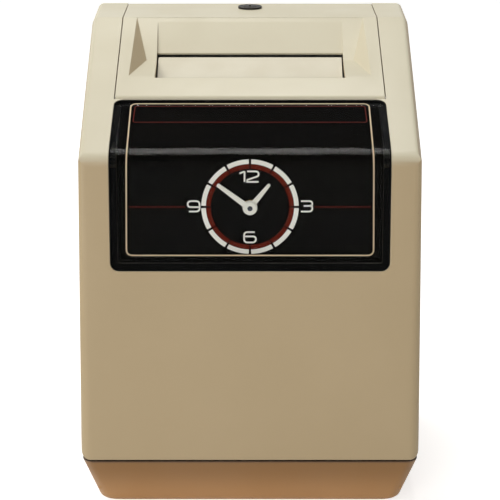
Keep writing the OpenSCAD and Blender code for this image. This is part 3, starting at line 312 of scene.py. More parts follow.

# %% [markdown]
# The case is beige plastic with a satin skin. Its top and slope are painted pale as painted light, and its upright
# walls a warmer tan as painted shade, so the colour follows the direction that each face looks in. The lid's
# forward faces lie high in the light and are painted pale too, and the hopper's left cheek, which looks away from
# the light, keeps some of the tan as painted shade. Direction and height are read in the piece's own frame,
# because world directions would repaint the lid while it opens.

# %% Finish: beige case plastic
# The pale and the tan colour are one beige, lit and shaded: painted light and painted shade.
CASE_LIT_PALE = srgb(219, 212, 187)
CASE_SHADED_TAN = srgb(190, 169, 133)
CASE_CLOUD, CASE_CLOUD_SHARE = srgb(166, 148, 114), 0.08
CASE_RUBBED, CASE_RUBBED_SHARE = srgb(226, 221, 203), 0.35
CASE_EDGE_R = 0.5 * MM
CASE_ROUGH = (0.42, 0.52)
GRAIN_DEPTH = 0.03 * MM
UP_LEAN = (0.05, 0.8)
FORWARD_LEAN = (-0.2, -0.6)
LID_HEIGHTS = (184 * MM, 187 * MM)
CHEEK_LEAN, CHEEK_PALE = (0.3, 0.7), 0.25


def make_case_plastic():
    material, tree, surface = new_material("case_plastic")
    grain = use(tree, mould_grain)
    edges = use(tree, soft_edges, Radius=CASE_EDGE_R)
    own = add(tree, "TexCoord").outputs
    facing = add(tree, "SeparateXYZ", Vector=own["Normal"]).outputs
    height = add(tree, "SeparateXYZ", Vector=own["Object"]).outputs["Z"]
    forward = spread(tree, facing["Y"], *FORWARD_LEAN)
    # Painted light: faces that look up and the lid's high forward faces take the pale colour; the hopper's left
    # cheek keeps painted shade.
    lid_front = calc(tree, "MULTIPLY", spread(tree, height, *LID_HEIGHTS), forward)
    upward = calc(tree, "MAXIMUM", spread(tree, facing["Z"], *UP_LEAN), lid_front)
    painted_light_share = calc(tree, "MULTIPLY", upward, spread(tree, facing["X"], *CHEEK_LEAN, 1.0, CHEEK_PALE))
    body = blend_colour(tree, painted_light_share, CASE_SHADED_TAN, CASE_LIT_PALE)
    clouded = blend_colour(tree, part_of(tree, grain["Cloud"], CASE_CLOUD_SHARE), body, CASE_CLOUD)
    worn = blend_colour(tree, part_of(tree, edges["Edge"], CASE_RUBBED_SHARE), clouded, CASE_RUBBED)
    rough = spread(tree, grain["Cloud"], 0.0, 1.0, *CASE_ROUGH)
    normal = relief(tree, grain["Height"], GRAIN_DEPTH, edges["Normal"])
    fill(tree, surface, Base_Color=worn, Roughness=rough, Normal=normal)
    return material


case_plastic = make_case_plastic()
print("finish", case_plastic.name)

# %% [markdown]
# Most other mouldings share one recipe: a colour, a second colour in its clouds, rubbed edges, grain. The lock's
# blackened metal takes it too, because its skin is paint, and only its edges are rubbed bright. The brown base is
# paler at its foot and darkens up to the seam, as painted light near the floor and painted shade under the case's
# overhang and in the seam, so its colours can follow the height in bands: where a band starts, where it is full,
# and its colour.

# %% Finishes: base, rubber and small mouldings
CLOUD_SHARE = 0.5
MOULDING_SWING = 0.05
# The base's bands are painted shade: darker up under the case's overhang and darkest in the seam, over a foot
# painted paler as light off the floor.
BASE_SHADE_BANDS = [(3.0, 23.0, srgb(146, 107, 62)), (23.6, 25.2, srgb(84, 62, 44))]


def make_moulding(
    name,
    colour,
    cloud_colour,
    rough,
    edge_colour,
    edge_share=0.3,
    edge_r=0.3,
    grain_scale=GRAIN_SCALE,
    gloss=0.5,
    bands=(),
):
    material, tree, surface = new_material(name)
    grain = use(tree, mould_grain, Grain_Scale=grain_scale)
    edges = use(tree, soft_edges, Radius=edge_r * MM)
    clouded = blend_colour(tree, part_of(tree, grain["Cloud"], CLOUD_SHARE), colour, cloud_colour)
    worn = blend_colour(tree, part_of(tree, edges["Edge"], edge_share), clouded, edge_colour)
    for start, full, band_colour in bands:
        height = add(tree, "SeparateXYZ", Vector=add(tree, "TexCoord").outputs["Object"]).outputs["Z"]
        worn = blend_colour(tree, spread(tree, height, start * MM, full * MM), worn, band_colour)
    swing = spread(tree, grain["Cloud"], 0.0, 1.0, rough - MOULDING_SWING, rough + MOULDING_SWING)
    normal = relief(tree, grain["Height"], GRAIN_DEPTH, edges["Normal"])
    fill(tree, surface, Base_Color=worn, Roughness=swing, Normal=normal, Specular_IOR_Level=gloss)
    return material


base_plastic = make_moulding(
    "base_plastic",
    srgb(196, 149, 98),
    srgb(186, 140, 90),
    0.5,
    srgb(204, 164, 120),
    edge_r=0.5,
    grain_scale=1800.0,
    bands=BASE_SHADE_BANDS,
)
foot_rubber = make_moulding("foot_rubber", srgb(38, 37, 36), srgb(52, 50, 48), 0.75, srgb(60, 58, 56))
seal_rubber = make_moulding("seal_rubber", srgb(8, 8, 8), srgb(11, 11, 10), 0.6, srgb(14, 14, 14), gloss=0.05)
black_plastic = make_moulding("black_plastic", srgb(34, 34, 35), srgb(44, 44, 44), 0.42, srgb(70, 70, 70))
terminal_plastic = make_moulding(
    "terminal_plastic", srgb(214, 207, 188), srgb(198, 188, 164), 0.35, srgb(228, 224, 210)
)
lock_black = make_moulding(
    "lock_black", srgb(30, 29, 28), srgb(22, 21, 20), 0.4, srgb(190, 174, 146), edge_share=0.6, gloss=0.1
)
print("finishes", base_plastic.name, foot_rubber.name, seal_rubber.name, black_plastic.name)
print("finishes", terminal_plastic.name, lock_black.name)

# %% [markdown]
# Behind the lens lies the dial tray, in an even black lacquer. The lens gives the face its gloss, so the
# lacquer itself mirrors nothing. It only varies a trace in tone, because a relief would glitter through the
# lens.

# %% Finish: black tray lacquer
TRAY_BLACK, TRAY_WARM = srgb(9, 9, 8), srgb(12, 11, 9)
TRAY_CLOUD_SCALE = 40.0
TRAY_ROUGH = 0.6


def make_tray_lacquer():
    material, tree, surface = new_material("tray_lacquer")
    grain = use(tree, mould_grain, Cloud_Scale=TRAY_CLOUD_SCALE)
    shade = blend_colour(tree, grain["Cloud"], TRAY_BLACK, TRAY_WARM)
    fill(tree, surface, Base_Color=shade, Roughness=TRAY_ROUGH, Specular_IOR_Level=0.0)
    return material


tray_lacquer = make_tray_lacquer()
print("finish", tray_lacquer.name)

# %% [markdown]
# The lens is clear plastic. A clear solid blocks lamps in a path tracer, because the way of light through two
# bent surfaces is hard to find. For shadow rays and scattered rays the lens is therefore plainly transparent.
# Its index is low, because in the photograph the face mirrors almost nothing but the lamp along its bend.

# %% Finish: clear lens
LENS_TINT = (0.96, 0.97, 0.97, 1)
LENS_INDEX = 1.09
LENS_ROUGH = 0.015


def make_clear_lens():
    material, tree, surface = new_material("clear_lens")
    fill(tree, surface, Base_Color=LENS_TINT, Transmission_Weight=1.0, IOR=LENS_INDEX, Roughness=LENS_ROUGH)
    clear = add(tree, "BsdfTransparent")
    path = add(tree, "LightPath").outputs
    through = calc(tree, "MAXIMUM", path["Is Shadow Ray"], path["Is Diffuse Ray"])
    show(tree, add(tree, "MixShader", _0=through, _1=surface.outputs[0], _2=clear.outputs[0]))
    return material


clear_lens = make_clear_lens()
print("finish", clear_lens.name)

# %% [markdown]
# The works are steel, brass and light alloy. They share a recipe too: rolled lines in the relief and in the
# roughness, a darker tone where a thin skin of oxide sits, bright edges, and a little dust on top.

# %% Finishes: metals
TURNED = (1500.0, 60.0, 60.0)
OXIDE_SCALE, OXIDE_SHARE = 60.0, 0.4
BRIGHT_R, BRIGHT_SHARE = 0.25 * MM, 0.5
DUST_COLOUR, DUST_SHARE = srgb(150, 142, 124), 0.18
STREAK_SMOOTH, STREAK_ROUGH = 0.04, 0.05
LINE_DEPTH = 0.0015 * MM


def make_metal(name, colour, dull, rough, stretch):
    material, tree, surface = new_material(name)
    lines = use(tree, rolled_lines, Stretch=stretch)
    grain = use(tree, mould_grain, Cloud_Scale=OXIDE_SCALE)
    edges = use(tree, soft_edges, Radius=BRIGHT_R)
    skin = blend_colour(tree, part_of(tree, grain["Cloud"], OXIDE_SHARE), colour, dull)
    bright = blend_colour(tree, part_of(tree, edges["Edge"], BRIGHT_SHARE), skin, colour)
    dust = use(tree, settled_dust)["Dust"]
    dusty = blend_colour(tree, part_of(tree, dust, DUST_SHARE), bright, DUST_COLOUR)
    swing = spread(tree, lines["Streak"], 0.0, 1.0, rough - STREAK_SMOOTH, rough + STREAK_ROUGH)
    normal = relief(tree, lines["Height"], LINE_DEPTH, edges["Normal"])
    fill(tree, surface, Base_Color=dusty, Metallic=1.0, Roughness=swing, Normal=normal)
    return material


sheet_steel = make_metal("sheet_steel", srgb(172, 174, 174), srgb(146, 147, 143), 0.4, ROLLED)
turned_steel = make_metal("turned_steel", srgb(186, 188, 190), srgb(150, 150, 148), 0.28, TURNED)
blued_steel = make_metal("blued_steel", srgb(58, 60, 66), srgb(40, 41, 45), 0.34, TURNED)
brass = make_metal("brass", srgb(216, 184, 104), srgb(176, 138, 66), 0.3, (500.0, 500.0, 500.0))
motor_alloy = make_metal("motor_alloy", srgb(198, 200, 200), srgb(170, 172, 172), 0.42, (900.0, 900.0, 900.0))
type_alloy = make_metal("type_alloy", srgb(160, 162, 160), srgb(112, 112, 110), 0.45, (700.0, 700.0, 700.0))
print("metals", sheet_steel.name, turned_steel.name, blued_steel.name)
print("metals", brass.name, motor_alloy.name, type_alloy.name)

# %% [markdown]
# The chute plates and the hands are enamelled metal. Enamel is a smooth skin with a slight orange peel, and
# printing ink is the same with hardly any peel or gloss, so one recipe makes both.

# %% Finishes: enamels and inks
PEEL_SCALE, ENAMEL_CLOUD_SCALE = 700.0, 50.0
ENAMEL_EDGE_R, ENAMEL_EDGE_SHARE = 0.2 * MM, 0.4
ENAMEL_SWING = 0.04
ENAMEL_PEEL, ENAMEL_GLOSS = 0.02 * MM, 0.5
INK_PEEL, INK_GLOSS = 0.004 * MM, 0.05


def make_enamel(name, colour, shade, rough, peel=ENAMEL_PEEL, gloss=ENAMEL_GLOSS):
    material, tree, surface = new_material(name)
    grain = use(tree, mould_grain, Grain_Scale=PEEL_SCALE, Cloud_Scale=ENAMEL_CLOUD_SCALE)
    edges = use(tree, soft_edges, Radius=ENAMEL_EDGE_R)
    clouded = blend_colour(tree, part_of(tree, grain["Cloud"], CLOUD_SHARE), colour, shade)
    worn = blend_colour(tree, part_of(tree, edges["Edge"], ENAMEL_EDGE_SHARE), clouded, colour)
    swing = spread(tree, grain["Cloud"], 0.0, 1.0, rough - ENAMEL_SWING, rough + ENAMEL_SWING)
    normal = relief(tree, grain["Height"], peel, edges["Normal"])
    fill(tree, surface, Base_Color=worn, Roughness=swing, Normal=normal, Specular_IOR_Level=gloss)
    return material


def make_ink(name, colour, shade, rough):
    return make_enamel(name, colour, shade, rough, INK_PEEL, INK_GLOSS)


chute_enamel = make_enamel("chute_enamel", srgb(216, 209, 186), srgb(207, 198, 172), 0.4)
hand_enamel = make_enamel("hand_enamel", srgb(240, 239, 230), srgb(228, 226, 212), 0.4)
white_ink = make_ink("white_ink", srgb(250, 250, 244), srgb(242, 240, 230), 0.55)
cream_ink = make_ink("cream_ink", srgb(226, 206, 172), srgb(212, 186, 150), 0.5)
red_ink = make_ink("red_ink", srgb(100, 28, 13), srgb(88, 24, 12), 0.55)
dark_red_ink = make_ink("dark_red_ink", srgb(94, 28, 20), srgb(84, 25, 18), 0.55)
print("enamels", chute_enamel.name, hand_enamel.name)
print("inks", white_ink.name, cream_ink.name, red_ink.name, dark_red_ink.name)

# %% [markdown]
# The magnet's coil is fine copper wire, wound in even turns under brown lacquer. A wave along the
# coil's axis gives the turns, because thousands of real turns would be lost at this scale.

# %% Finish: wound coil
COIL_GROOVE, COIL_COPPER = srgb(92, 38, 18), srgb(168, 86, 46)
COIL_SCALE, COIL_WOBBLE = 500.0, 0.3
COIL_ROUGH = (0.5, 0.3)
COIL_DEPTH = 0.1 * MM


def make_wound_coil():
    material, tree, surface = new_material("wound_coil")
    place = add(tree, "TexCoord").outputs["Object"]
    wave = add(tree, "TexWave", {"bands_direction": "Z"}, Vector=place, Scale=COIL_SCALE)
    turns = fill(tree, wave, Distortion=COIL_WOBBLE).outputs["Fac"]
    copper = blend_colour(tree, turns, COIL_GROOVE, COIL_COPPER)
    rough = spread(tree, turns, 0.0, 1.0, *COIL_ROUGH)
    fill(tree, surface, Base_Color=copper, Roughness=rough, Normal=relief(tree, turns, COIL_DEPTH))
    return material


wound_coil = make_wound_coil()
print("finish", wound_coil.name)

# %% [markdown]
# The ribbon is inked cloth: a plain weave of fine threads, nearly black. Two waves across each other give the
# weave, because single threads would be too many to model.

# %% Finish: inked cloth
CLOTH_GAP, CLOTH_THREAD = srgb(14, 13, 20), srgb(40, 38, 50)
THREAD_SCALE = 900.0
CLOTH_ROUGH = (0.8, 0.6)
WEAVE_DEPTH = 0.05 * MM


def make_inked_cloth():
    material, tree, surface = new_material("inked_cloth")
    place = add(tree, "TexCoord").outputs["Object"]
    warp = add(tree, "TexWave", {"bands_direction": "X"}, Vector=place, Scale=THREAD_SCALE)
    weft = add(tree, "TexWave", {"bands_direction": "Z"}, Vector=place, Scale=THREAD_SCALE)
    weave = calc(tree, "MULTIPLY", warp.outputs["Fac"], weft.outputs["Fac"])
    ink = blend_colour(tree, weave, CLOTH_GAP, CLOTH_THREAD)
    rough = spread(tree, weave, 0.0, 1.0, *CLOTH_ROUGH)
    fill(tree, surface, Base_Color=ink, Roughness=rough, Normal=relief(tree, weave, WEAVE_DEPTH))
    return material


inked_cloth = make_inked_cloth()
print("finish", inked_cloth.name)

# %% [markdown]
# Finishes could be put on the solids one by one. Here each solid takes the finish of its slot in the record,
# so a piece can never be forgotten. The hands' arbor is blued steel, because its dark end shows in the middle
# of the pale hub.

# %% Put the finishes on the solids
FINISH = {
    "case": case_plastic,
    "base": base_plastic,
    "rubber": foot_rubber,
    "lens": clear_lens,
    "gasket": seal_rubber,
    "tray": tray_lacquer,
    "sheet_steel": sheet_steel,
    "turned_steel": turned_steel,
    "brass": brass,
    "motor": motor_alloy,
    "chute": chute_enamel,
    "type": type_alloy,
    "ribbon": inked_cloth,
    "coil": wound_coil,
    "black_plastic": black_plastic,
    "terminal": terminal_plastic,
    "hands": hand_enamel,
    "lock": lock_black,
}
for row in frame["record"]["subparts"]:
    solid = nodes[row["node"]]
    solid.data.materials.clear()
    solid.data.materials.append(FINISH[row["material_slot"]])
nodes["center_arbor"].data.materials[0] = blued_steel

# %% [markdown]
# Curved solids arrive as small flat facets. Their meshes stay as they are, so a short geometry-node modifier
# joins the facets' corners and shades smoothly across shallow angles, and it leaves real edges sharp.

# %% Smooth shading by angle
SHARP_ANGLE = math.radians(28)
WELD_DISTANCE = 0.001 * MM


def make_smooth_group():
    group = bpy.data.node_groups.new("smooth_by_angle", "GeometryNodeTree")
    group.interface.new_socket("Geometry", in_out="INPUT", socket_type="NodeSocketGeometry")
    group.interface.new_socket("Geometry", in_out="OUTPUT", socket_type="NodeSocketGeometry")
    start = group.nodes.new("NodeGroupInput")
    end = group.nodes.new("NodeGroupOutput")
    plain = group.nodes.new("GeometryNodeRemoveAttribute")
    plain.inputs["Name"].default_value = "custom_normal"
    weld = group.nodes.new("GeometryNodeMergeByDistance")
    weld.inputs["Distance"].default_value = WELD_DISTANCE
    angle = group.nodes.new("GeometryNodeInputMeshEdgeAngle")
    sharp = group.nodes.new("FunctionNodeCompare")
    sharp.operation = "GREATER_THAN"
    sharp.inputs[1].default_value = SHARP_ANGLE
    smooth = group.nodes.new("GeometryNodeSetShadeSmooth")
    crisp = group.nodes.new("GeometryNodeSetShadeSmooth")
    crisp.domain = "EDGE"
    crisp.inputs["Shade Smooth"].default_value = False
    link = group.links.new
    link(start.outputs[0], plain.inputs["Geometry"])
    link(plain.outputs[0], weld.inputs["Geometry"])
    link(weld.outputs[0], smooth.inputs["Geometry"])
    link(smooth.outputs[0], crisp.inputs["Geometry"])
    link(angle.outputs["Unsigned Angle"], sharp.inputs[0])
    link(sharp.outputs[0], crisp.inputs["Selection"])
    link(crisp.outputs[0], end.inputs[0])
    return group


smooth_group = make_smooth_group()
for solid in nodes.values():
    modifier = solid.modifiers.new("smooth", "NODES")
    modifier.node_group = smooth_group
print("smooth shading on", len(nodes), "solids")

# %% [markdown]
# The markings of the face are thin prints. Each is a flat stroke of ink along a path, drawn on a sheet that
# follows what carries it: the flat dial, or the lens's front, bend and slope.

# %% Surfaces that carry ink
FRONT_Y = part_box("face_lens")[0].y
BEND_Z = 173 * MM
BEND_R = 8 * MM
SLOPE_RISE, SLOPE_RUN = 46, 107
SLOPE = math.atan2(SLOPE_RISE, SLOPE_RUN)
BEND_TURN = math.pi / 2 - SLOPE
BEND_TANGENT = BEND_R * math.tan(BEND_TURN / 2)
DIAL_DEPTH = 6.6 * MM
DIAL_Y = FRONT_Y + DIAL_DEPTH
DIAL_Z = joint("minute_turn")["pos_m"][2]
INK_LIFT = 0.04 * MM


def on_dial(x, z):
    """A point of the dial's ink, measured in millimetres from the hands' axis."""
    return Vector((x * MM, DIAL_Y - INK_LIFT, DIAL_Z + z * MM))


def on_lens(x, s):
    """A point of the lens's ink. s runs up the front and the slope, from the sharp corner of the bend."""
    run = s * MM
    if run <= -BEND_TANGENT:
        return Vector((x * MM, FRONT_Y - INK_LIFT, BEND_Z + run))
    if run >= BEND_TANGENT:
        out = Vector((0, -math.sin(SLOPE), math.cos(SLOPE)))
        along = Vector((0, math.cos(SLOPE), math.sin(SLOPE)))
        return Vector((x * MM, FRONT_Y, BEND_Z)) + along * run + out * INK_LIFT
    share = (run + BEND_TANGENT) / (2 * BEND_TANGENT)
    turn = share * BEND_TURN
    middle = Vector((x * MM, FRONT_Y + BEND_R, BEND_Z - BEND_TANGENT))
    return middle + Vector((0, -math.cos(turn), math.sin(turn))) * (BEND_R + INK_LIFT)


print("dial axis at", round(DIAL_Z / MM, 2), "mm")

# %% [markdown]
# A stroke is a ribbon of constant width along a path with rounded corners. A curve with a bevel would be
# quick, but its section turns with the curve and wouldn't lie flat on the bent lens. Here each point is
# offset along the mitre of its two neighbours, which keeps the width even.

# %% Strokes of ink
ROUND_STEPS = 8
MITRE_LIMIT = 0.4


def rounded_path(points, radii, closed=False):
    """The path through the points, with its corners rounded."""
    path = []
    count = len(points)
    for i, point in enumerate(points):
        here = Vector(point)
        inner = closed or 0 < i < count - 1
        if not inner or radii[i] == 0:
            path.append(here)
            continue
        back = (Vector(points[i - 1]) - here).normalized()
        ahead = (Vector(points[(i + 1) % count]) - here).normalized()
        half = back.angle(ahead) / 2
        middle = here + (back + ahead).normalized() * radii[i] / math.sin(half)
        first = here + back * radii[i] / math.tan(half) - middle
        last = here + ahead * radii[i] / math.tan(half) - middle
        sweep = first.angle(last)
        for k in range(ROUND_STEPS + 1):
            t = k / ROUND_STEPS
            spoke = first * math.sin((1 - t) * sweep) + last * math.sin(t * sweep)
            path.append(middle + spoke / math.sin(sweep))
    return path


def finer(path, step, closed):
    """The same path with points no further apart than step."""
    out = []
    count = len(path)
    for i in range(count if closed else count - 1):
        a, b = path[i], path[(i + 1) % count]
        parts = max(1, math.ceil((b - a).length / step))
        out.extend(a.lerp(b, k / parts) for k in range(parts))
    if not closed:
        out.append(path[-1])
    return out


def stroke(path, width, closed=False):
    """Left and right edges of a ribbon along the path, as quads."""
    count = len(path)
    points, faces = [], []
    for i, here in enumerate(path):
        before = path[i - 1] if closed or i > 0 else here
        after = path[(i + 1) % count] if closed or i < count - 1 else here
        come = (here - before).normalized() if before is not here else (after - here).normalized()
        go = (after - here).normalized() if after is not here else come
        across = Vector((-(come + go).y, (come + go).x)).normalized()
        mitre = width / 2 / max(MITRE_LIMIT, across.dot(Vector((-come.y, come.x))))
        points += [here + across * mitre, here - across * mitre]
    for i in range(count if closed else count - 1):
        j = (i + 1) % count
        faces.append((2 * i, 2 * i + 1, 2 * j + 1, 2 * j))
    return points, faces


print("strokes ready")

# %% [markdown]
# All strokes of one colour and place become one piece. Its faces are turned to the front, and a solidify
# modifier gives the ink its body behind them. The body is thinner than the lift, so that ink and surface
# never share a plane.

# %% Pieces of ink
INK_BODY = 0.8 * INK_LIFT


def make_piece(name, points, faces, material):
    """A new piece of the scene, with its finish."""
    mesh = bpy.data.meshes.new(name)
    mesh.from_pydata(points, [], faces)
    mesh.materials.append(material)
    return link_object(name, mesh)


def thicken(piece, thickness, offset):
    body = piece.modifiers.new("thickness", "SOLIDIFY")
    body.thickness = thickness
    body.offset = offset


def face_forward(mesh):
    """Turns the faces of a flat mesh so that they look out of the clock's front."""
    work = bmesh.new()
    work.from_mesh(mesh)
    bmesh.ops.recalc_face_normals(work, faces=work.faces)
    outward = sum((f.normal * f.calc_area() for f in work.faces), Vector())
    if outward.y > 0:
        bmesh.ops.reverse_faces(work, faces=work.faces)
    work.to_mesh(mesh)
    work.free()


def ink_piece(name, shapes, surface, material):
    """One printed piece: flat shapes laid on a surface and given the thickness of the ink."""
    points, faces = [], []
    for flat, polygons in shapes:
        faces += [tuple(len(points) + k for k in polygon) for polygon in polygons]
        points += [surface(p.x, p.y) for p in flat]
    piece = make_piece(name, points, faces, material)
    face_forward(piece.data)
    thicken(piece, INK_BODY, -1)
    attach(piece, "chassis")
    return piece


print("ink is", round(INK_BODY / MM, 3), "mm thick")

# %% [markdown]
# The dial is a broken white ring, one piece to each hour, with a dark red ring inside it. A ring's
# piece is a stroke along an arc, shorter than its share by a narrow gap.

# %% Dial rings
HOURS = 12
WHITE_IN, WHITE_OUT = 20.35, 22.5
RED_IN = 18.15
RED_OUT = WHITE_IN - 0.15
WHITE_GAP = 1.1
RED_GAP = 0.6 * WHITE_GAP
ARC_STEPS = 14


def arc_stroke(radius, width, start, stop):
    path = []
    for k in range(ARC_STEPS + 1):
        angle = start + (stop - start) * k / ARC_STEPS
        path.append(Vector((radius * math.sin(angle), radius * math.cos(angle))))
    return stroke(path, width)


def ring_pieces(inner, outer, gap):
    middle = (inner + outer) / 2
    half_gap = gap / 2 / middle
    share = 2 * math.pi / HOURS
    arcs = [(i * share + half_gap, (i + 1) * share - half_gap) for i in range(HOURS)]
    return [arc_stroke(middle, outer - inner, start, stop) for start, stop in arcs]


white_ring = ink_piece("white_hour_ring", ring_pieces(WHITE_IN, WHITE_OUT, WHITE_GAP), on_dial, white_ink)
red_ring = ink_piece("red_dial_ring", ring_pieces(RED_IN, RED_OUT, RED_GAP), on_dial, red_ink)
print("rings", white_ring.name, red_ring.name, "of", HOURS, "pieces each")

# %% [markdown]
# The four figures are drawn with one thin even line in a wide, squared style. A font would bring forms of its
# own, so each figure is a short list of corners in a box and the radius of each corner. A nine is a six
# turned upside down.

# %% Dial figures
FIG_W, FIG_H, FIG_LINE = 5.45, 4.95, 0.8
MID = 0.58 * FIG_H
SIX_CORNERS = [(4.9, FIG_H), (0, FIG_H), (0, 0), (FIG_W, 0), (FIG_W, MID), (0, MID)]
SIX_RADII = [0, 1.5, 1.5, 1.5, 1.3, 0]
SIX = [(SIX_CORNERS, SIX_RADII)]
NINE = [([(FIG_W - x, FIG_H - y) for x, y in SIX_CORNERS], SIX_RADII)]
WAIST = MID - 0.2
THREE = [
    ([(0.2, FIG_H), (FIG_W, FIG_H), (FIG_W, WAIST), (1.5, WAIST)], [0, 1.3, 0.9, 0]),
    ([(FIG_W - 0.9, WAIST), (FIG_W, WAIST), (FIG_W, 0), (0.2, 0)], [0, 0.9, 1.4, 0]),
]
TWO_CORNERS = [(0.2, FIG_H), (FIG_W, FIG_H), (FIG_W, MID - 0.1), (0.2, 0.9), (0.2, 0), (FIG_W, 0)]
TWO = [(TWO_CORNERS, [0, 1.3, 1.1, 0.5, 0, 0])]
ONE = [([(0, 0.8 * FIG_H), (2.3, FIG_H), (2.3, 0)], [0, 0.3, 0])]
TWELVE_Z, SIX_Z, SIDE_Z = 14.4, -14.5, 0.3
ONE_X, TWO_X, SIDE_X = -4.8, -1.5, 26.0


def figure(lines, left, middle_z):
    """The strokes of a figure, from its left edge and the height of its middle."""
    low = middle_z - FIG_H / 2
    paths = [rounded_path([(x + left, z + low) for x, z in corners], radii) for corners, radii in lines]
    return [stroke(path, FIG_LINE) for path in paths]


figures = figure(ONE, ONE_X, TWELVE_Z) + figure(TWO, TWO_X, TWELVE_Z)
figures += figure(SIX, -FIG_W / 2, SIX_Z)
figures += figure(NINE, -SIDE_X - FIG_W / 2, SIDE_Z)
figures += figure(THREE, SIDE_X - FIG_W / 2, SIDE_Z)
dial_figures = ink_piece("dial_figures", figures, on_dial, white_ink)
print("figures with", len(figures), "strokes")

# %% [markdown]
# A fine red line runs out from the three and the nine, and on the lens a cream line frames the whole face and
# goes up over the bend. A plain dark red box stands near its upper edge. A frame's sides lean in with the
# case, so each frame has a half width at its foot and one at its top.

# %% Lines of the face
LINE_IN, LINE_OUT, LINE_WIDTH = 29.9, 55.9, 0.5
STRIPE_X, STRIPE_S = (57.0, 55.9), (126.6 - BEND_Z / MM, 42.2)
STRIPE_R, STRIPE_WIDTH = 2.6, 0.65
BOX_X, BOX_S = (54.4, 53.9), (27.4, 40.2)
BOX_R, BOX_WIDTH = 1.0, 0.45
LENS_STEP = 1.2


def side_line(side):
    return stroke([Vector((side * LINE_IN, 0)), Vector((side * LINE_OUT, 0))], LINE_WIDTH)


def lens_frame(half_low, half_top, low, top, radius, width):
    corners = [(-half_low, low), (half_low, low), (half_top, top), (-half_top, top)]
    path = finer(rounded_path(corners, [radius] * 4, closed=True), LENS_STEP, True)
    return stroke(path, width, closed=True)


stripe = lens_frame(*STRIPE_X, *STRIPE_S, STRIPE_R, STRIPE_WIDTH)
box = lens_frame(*BOX_X, *BOX_S, BOX_R, BOX_WIDTH)
red_lines = ink_piece("red_side_lines", [side_line(-1), side_line(1)], on_dial, dark_red_ink)
cream_stripe = ink_piece("cream_face_line", [stripe], on_lens, cream_ink)
red_box = ink_piece("red_band_outline", [box], on_lens, dark_red_ink)
print("lines:", red_lines.name, cream_stripe.name, red_box.name)

# %% [markdown]
# The ribbon is cloth, so a woven sheet takes the plain solid's place. It leaves the upper spool, turns
# round a guide rod, runs straight down past the type and goes back to the lower spool. It is stretched, so
# nothing has to be simulated: one half of its line is an arc and a tangent, and the other half is its mirror
# image.

# %% Ribbon cloth
RIBBON_T = 0.2 * MM
SOLID_HALF_T = 0.15
SPOOL_LINE_R, GUIDE_LINE_R = 9.0, 1.75
GUIDE_RISE = 23.5
GUIDE_STEPS = 8
RIBBON_STEP = 1.0
RIBBON_COLUMNS = 24


def ribbon_line():
    """The middle line of the band as (y, z) in millimetres, from the upper spool to the lower one."""
    spool = joint("upper_spool_turn")["pos_m"]
    low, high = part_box("ribbon")
    middle_z = (low.z + high.z) / 2 / MM
    guide = Vector((high.y / MM - SOLID_HALF_T - GUIDE_LINE_R, GUIDE_RISE))
    centre = Vector((spool[1] / MM, spool[2] / MM - middle_z))
    apart = centre - guide
    lean = math.atan2(apart.y, apart.x) - math.acos((GUIDE_LINE_R - SPOOL_LINE_R) / apart.length)
    half = [centre + SPOOL_LINE_R * Vector((math.cos(lean), math.sin(lean)))]
    for k in range(GUIDE_STEPS + 1):
        turn = lean * (GUIDE_STEPS - k) / GUIDE_STEPS
        half.append(guide + GUIDE_LINE_R * Vector((math.cos(turn), math.sin(turn))))
    line = half + [Vector((p.x, -p.y)) for p in reversed(half)]
    return [Vector((p.x, p.y + middle_z)) for p in finer(line, RIBBON_STEP, False)]


def make_ribbon_cloth():
    low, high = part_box("ribbon")
    line = ribbon_line()
    row = RIBBON_COLUMNS + 1
    across = [low.x + (high.x - low.x) * c / RIBBON_COLUMNS for c in range(row)]
    points = [(x, p.x * MM, p.y * MM) for p in line for x in across]
    starts = [r * row + c for r in range(len(line) - 1) for c in range(RIBBON_COLUMNS)]
    faces = [(a, a + 1, a + row + 1, a + row) for a in starts]
    cloth = make_piece("ribbon_cloth", points, faces, inked_cloth)
    cloth.data.shade_smooth()
    thicken(cloth, RIBBON_T, 0)
    length = sum((b - a).length for a, b in zip(line, line[1:])) * MM
    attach(cloth, "chassis")
    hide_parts("ribbon")
    return cloth, length


ribbon_cloth, ribbon_length = make_ribbon_cloth()
print(ribbon_cloth.name, round(ribbon_length / MM, 1), "mm between the spools")

# %% [markdown]
# A coil spring lies round the plunger, between its collar and the yoke, and the plunger's pull shortens it. A
# rigid solid would cut through the rising collar. A wire is therefore swept along a helix in the solid's place,
# and the length that it keeps when the plunger has moved fully is worked out.

# %% Plunger spring
WIRE_R = 0.45 * MM
SPRING_TURNS = 5
SPRING_STEPS, WIRE_SIDES = 160, 12


def wire_rings(low, high):
    """The points of the wire, ring after ring along the helix that fills a box."""
    middle = (low + high) / 2
    coil_r = (high.x - low.x) / 2 - WIRE_R
    rise = high.z - low.z - 2 * WIRE_R
    points = []
    for i in range(SPRING_STEPS + 1):
        turn = 2 * math.pi * SPRING_TURNS * i / SPRING_STEPS
        out = Vector((math.cos(turn), math.sin(turn), 0))
        centre = Vector((middle.x, middle.y, low.z + WIRE_R + rise * i / SPRING_STEPS)) + out * coil_r
        for k in range(WIRE_SIDES):
            b = 2 * math.pi * k / WIRE_SIDES
            points.append(centre + WIRE_R * (math.cos(b) * out + Vector((0, 0, math.sin(b)))))
    return points


def wire_faces():
    """The wire's skin between its rings, and its two ends."""
    faces = []
    for i in range(SPRING_STEPS):
        for k in range(WIRE_SIDES):
            a, b = i * WIRE_SIDES + k, i * WIRE_SIDES + (k + 1) % WIRE_SIDES
            faces.append((a, a + WIRE_SIDES, b + WIRE_SIDES, b))
    last = SPRING_STEPS * WIRE_SIDES
    return faces + [tuple(range(WIRE_SIDES)), tuple(last + k for k in reversed(range(WIRE_SIDES)))]


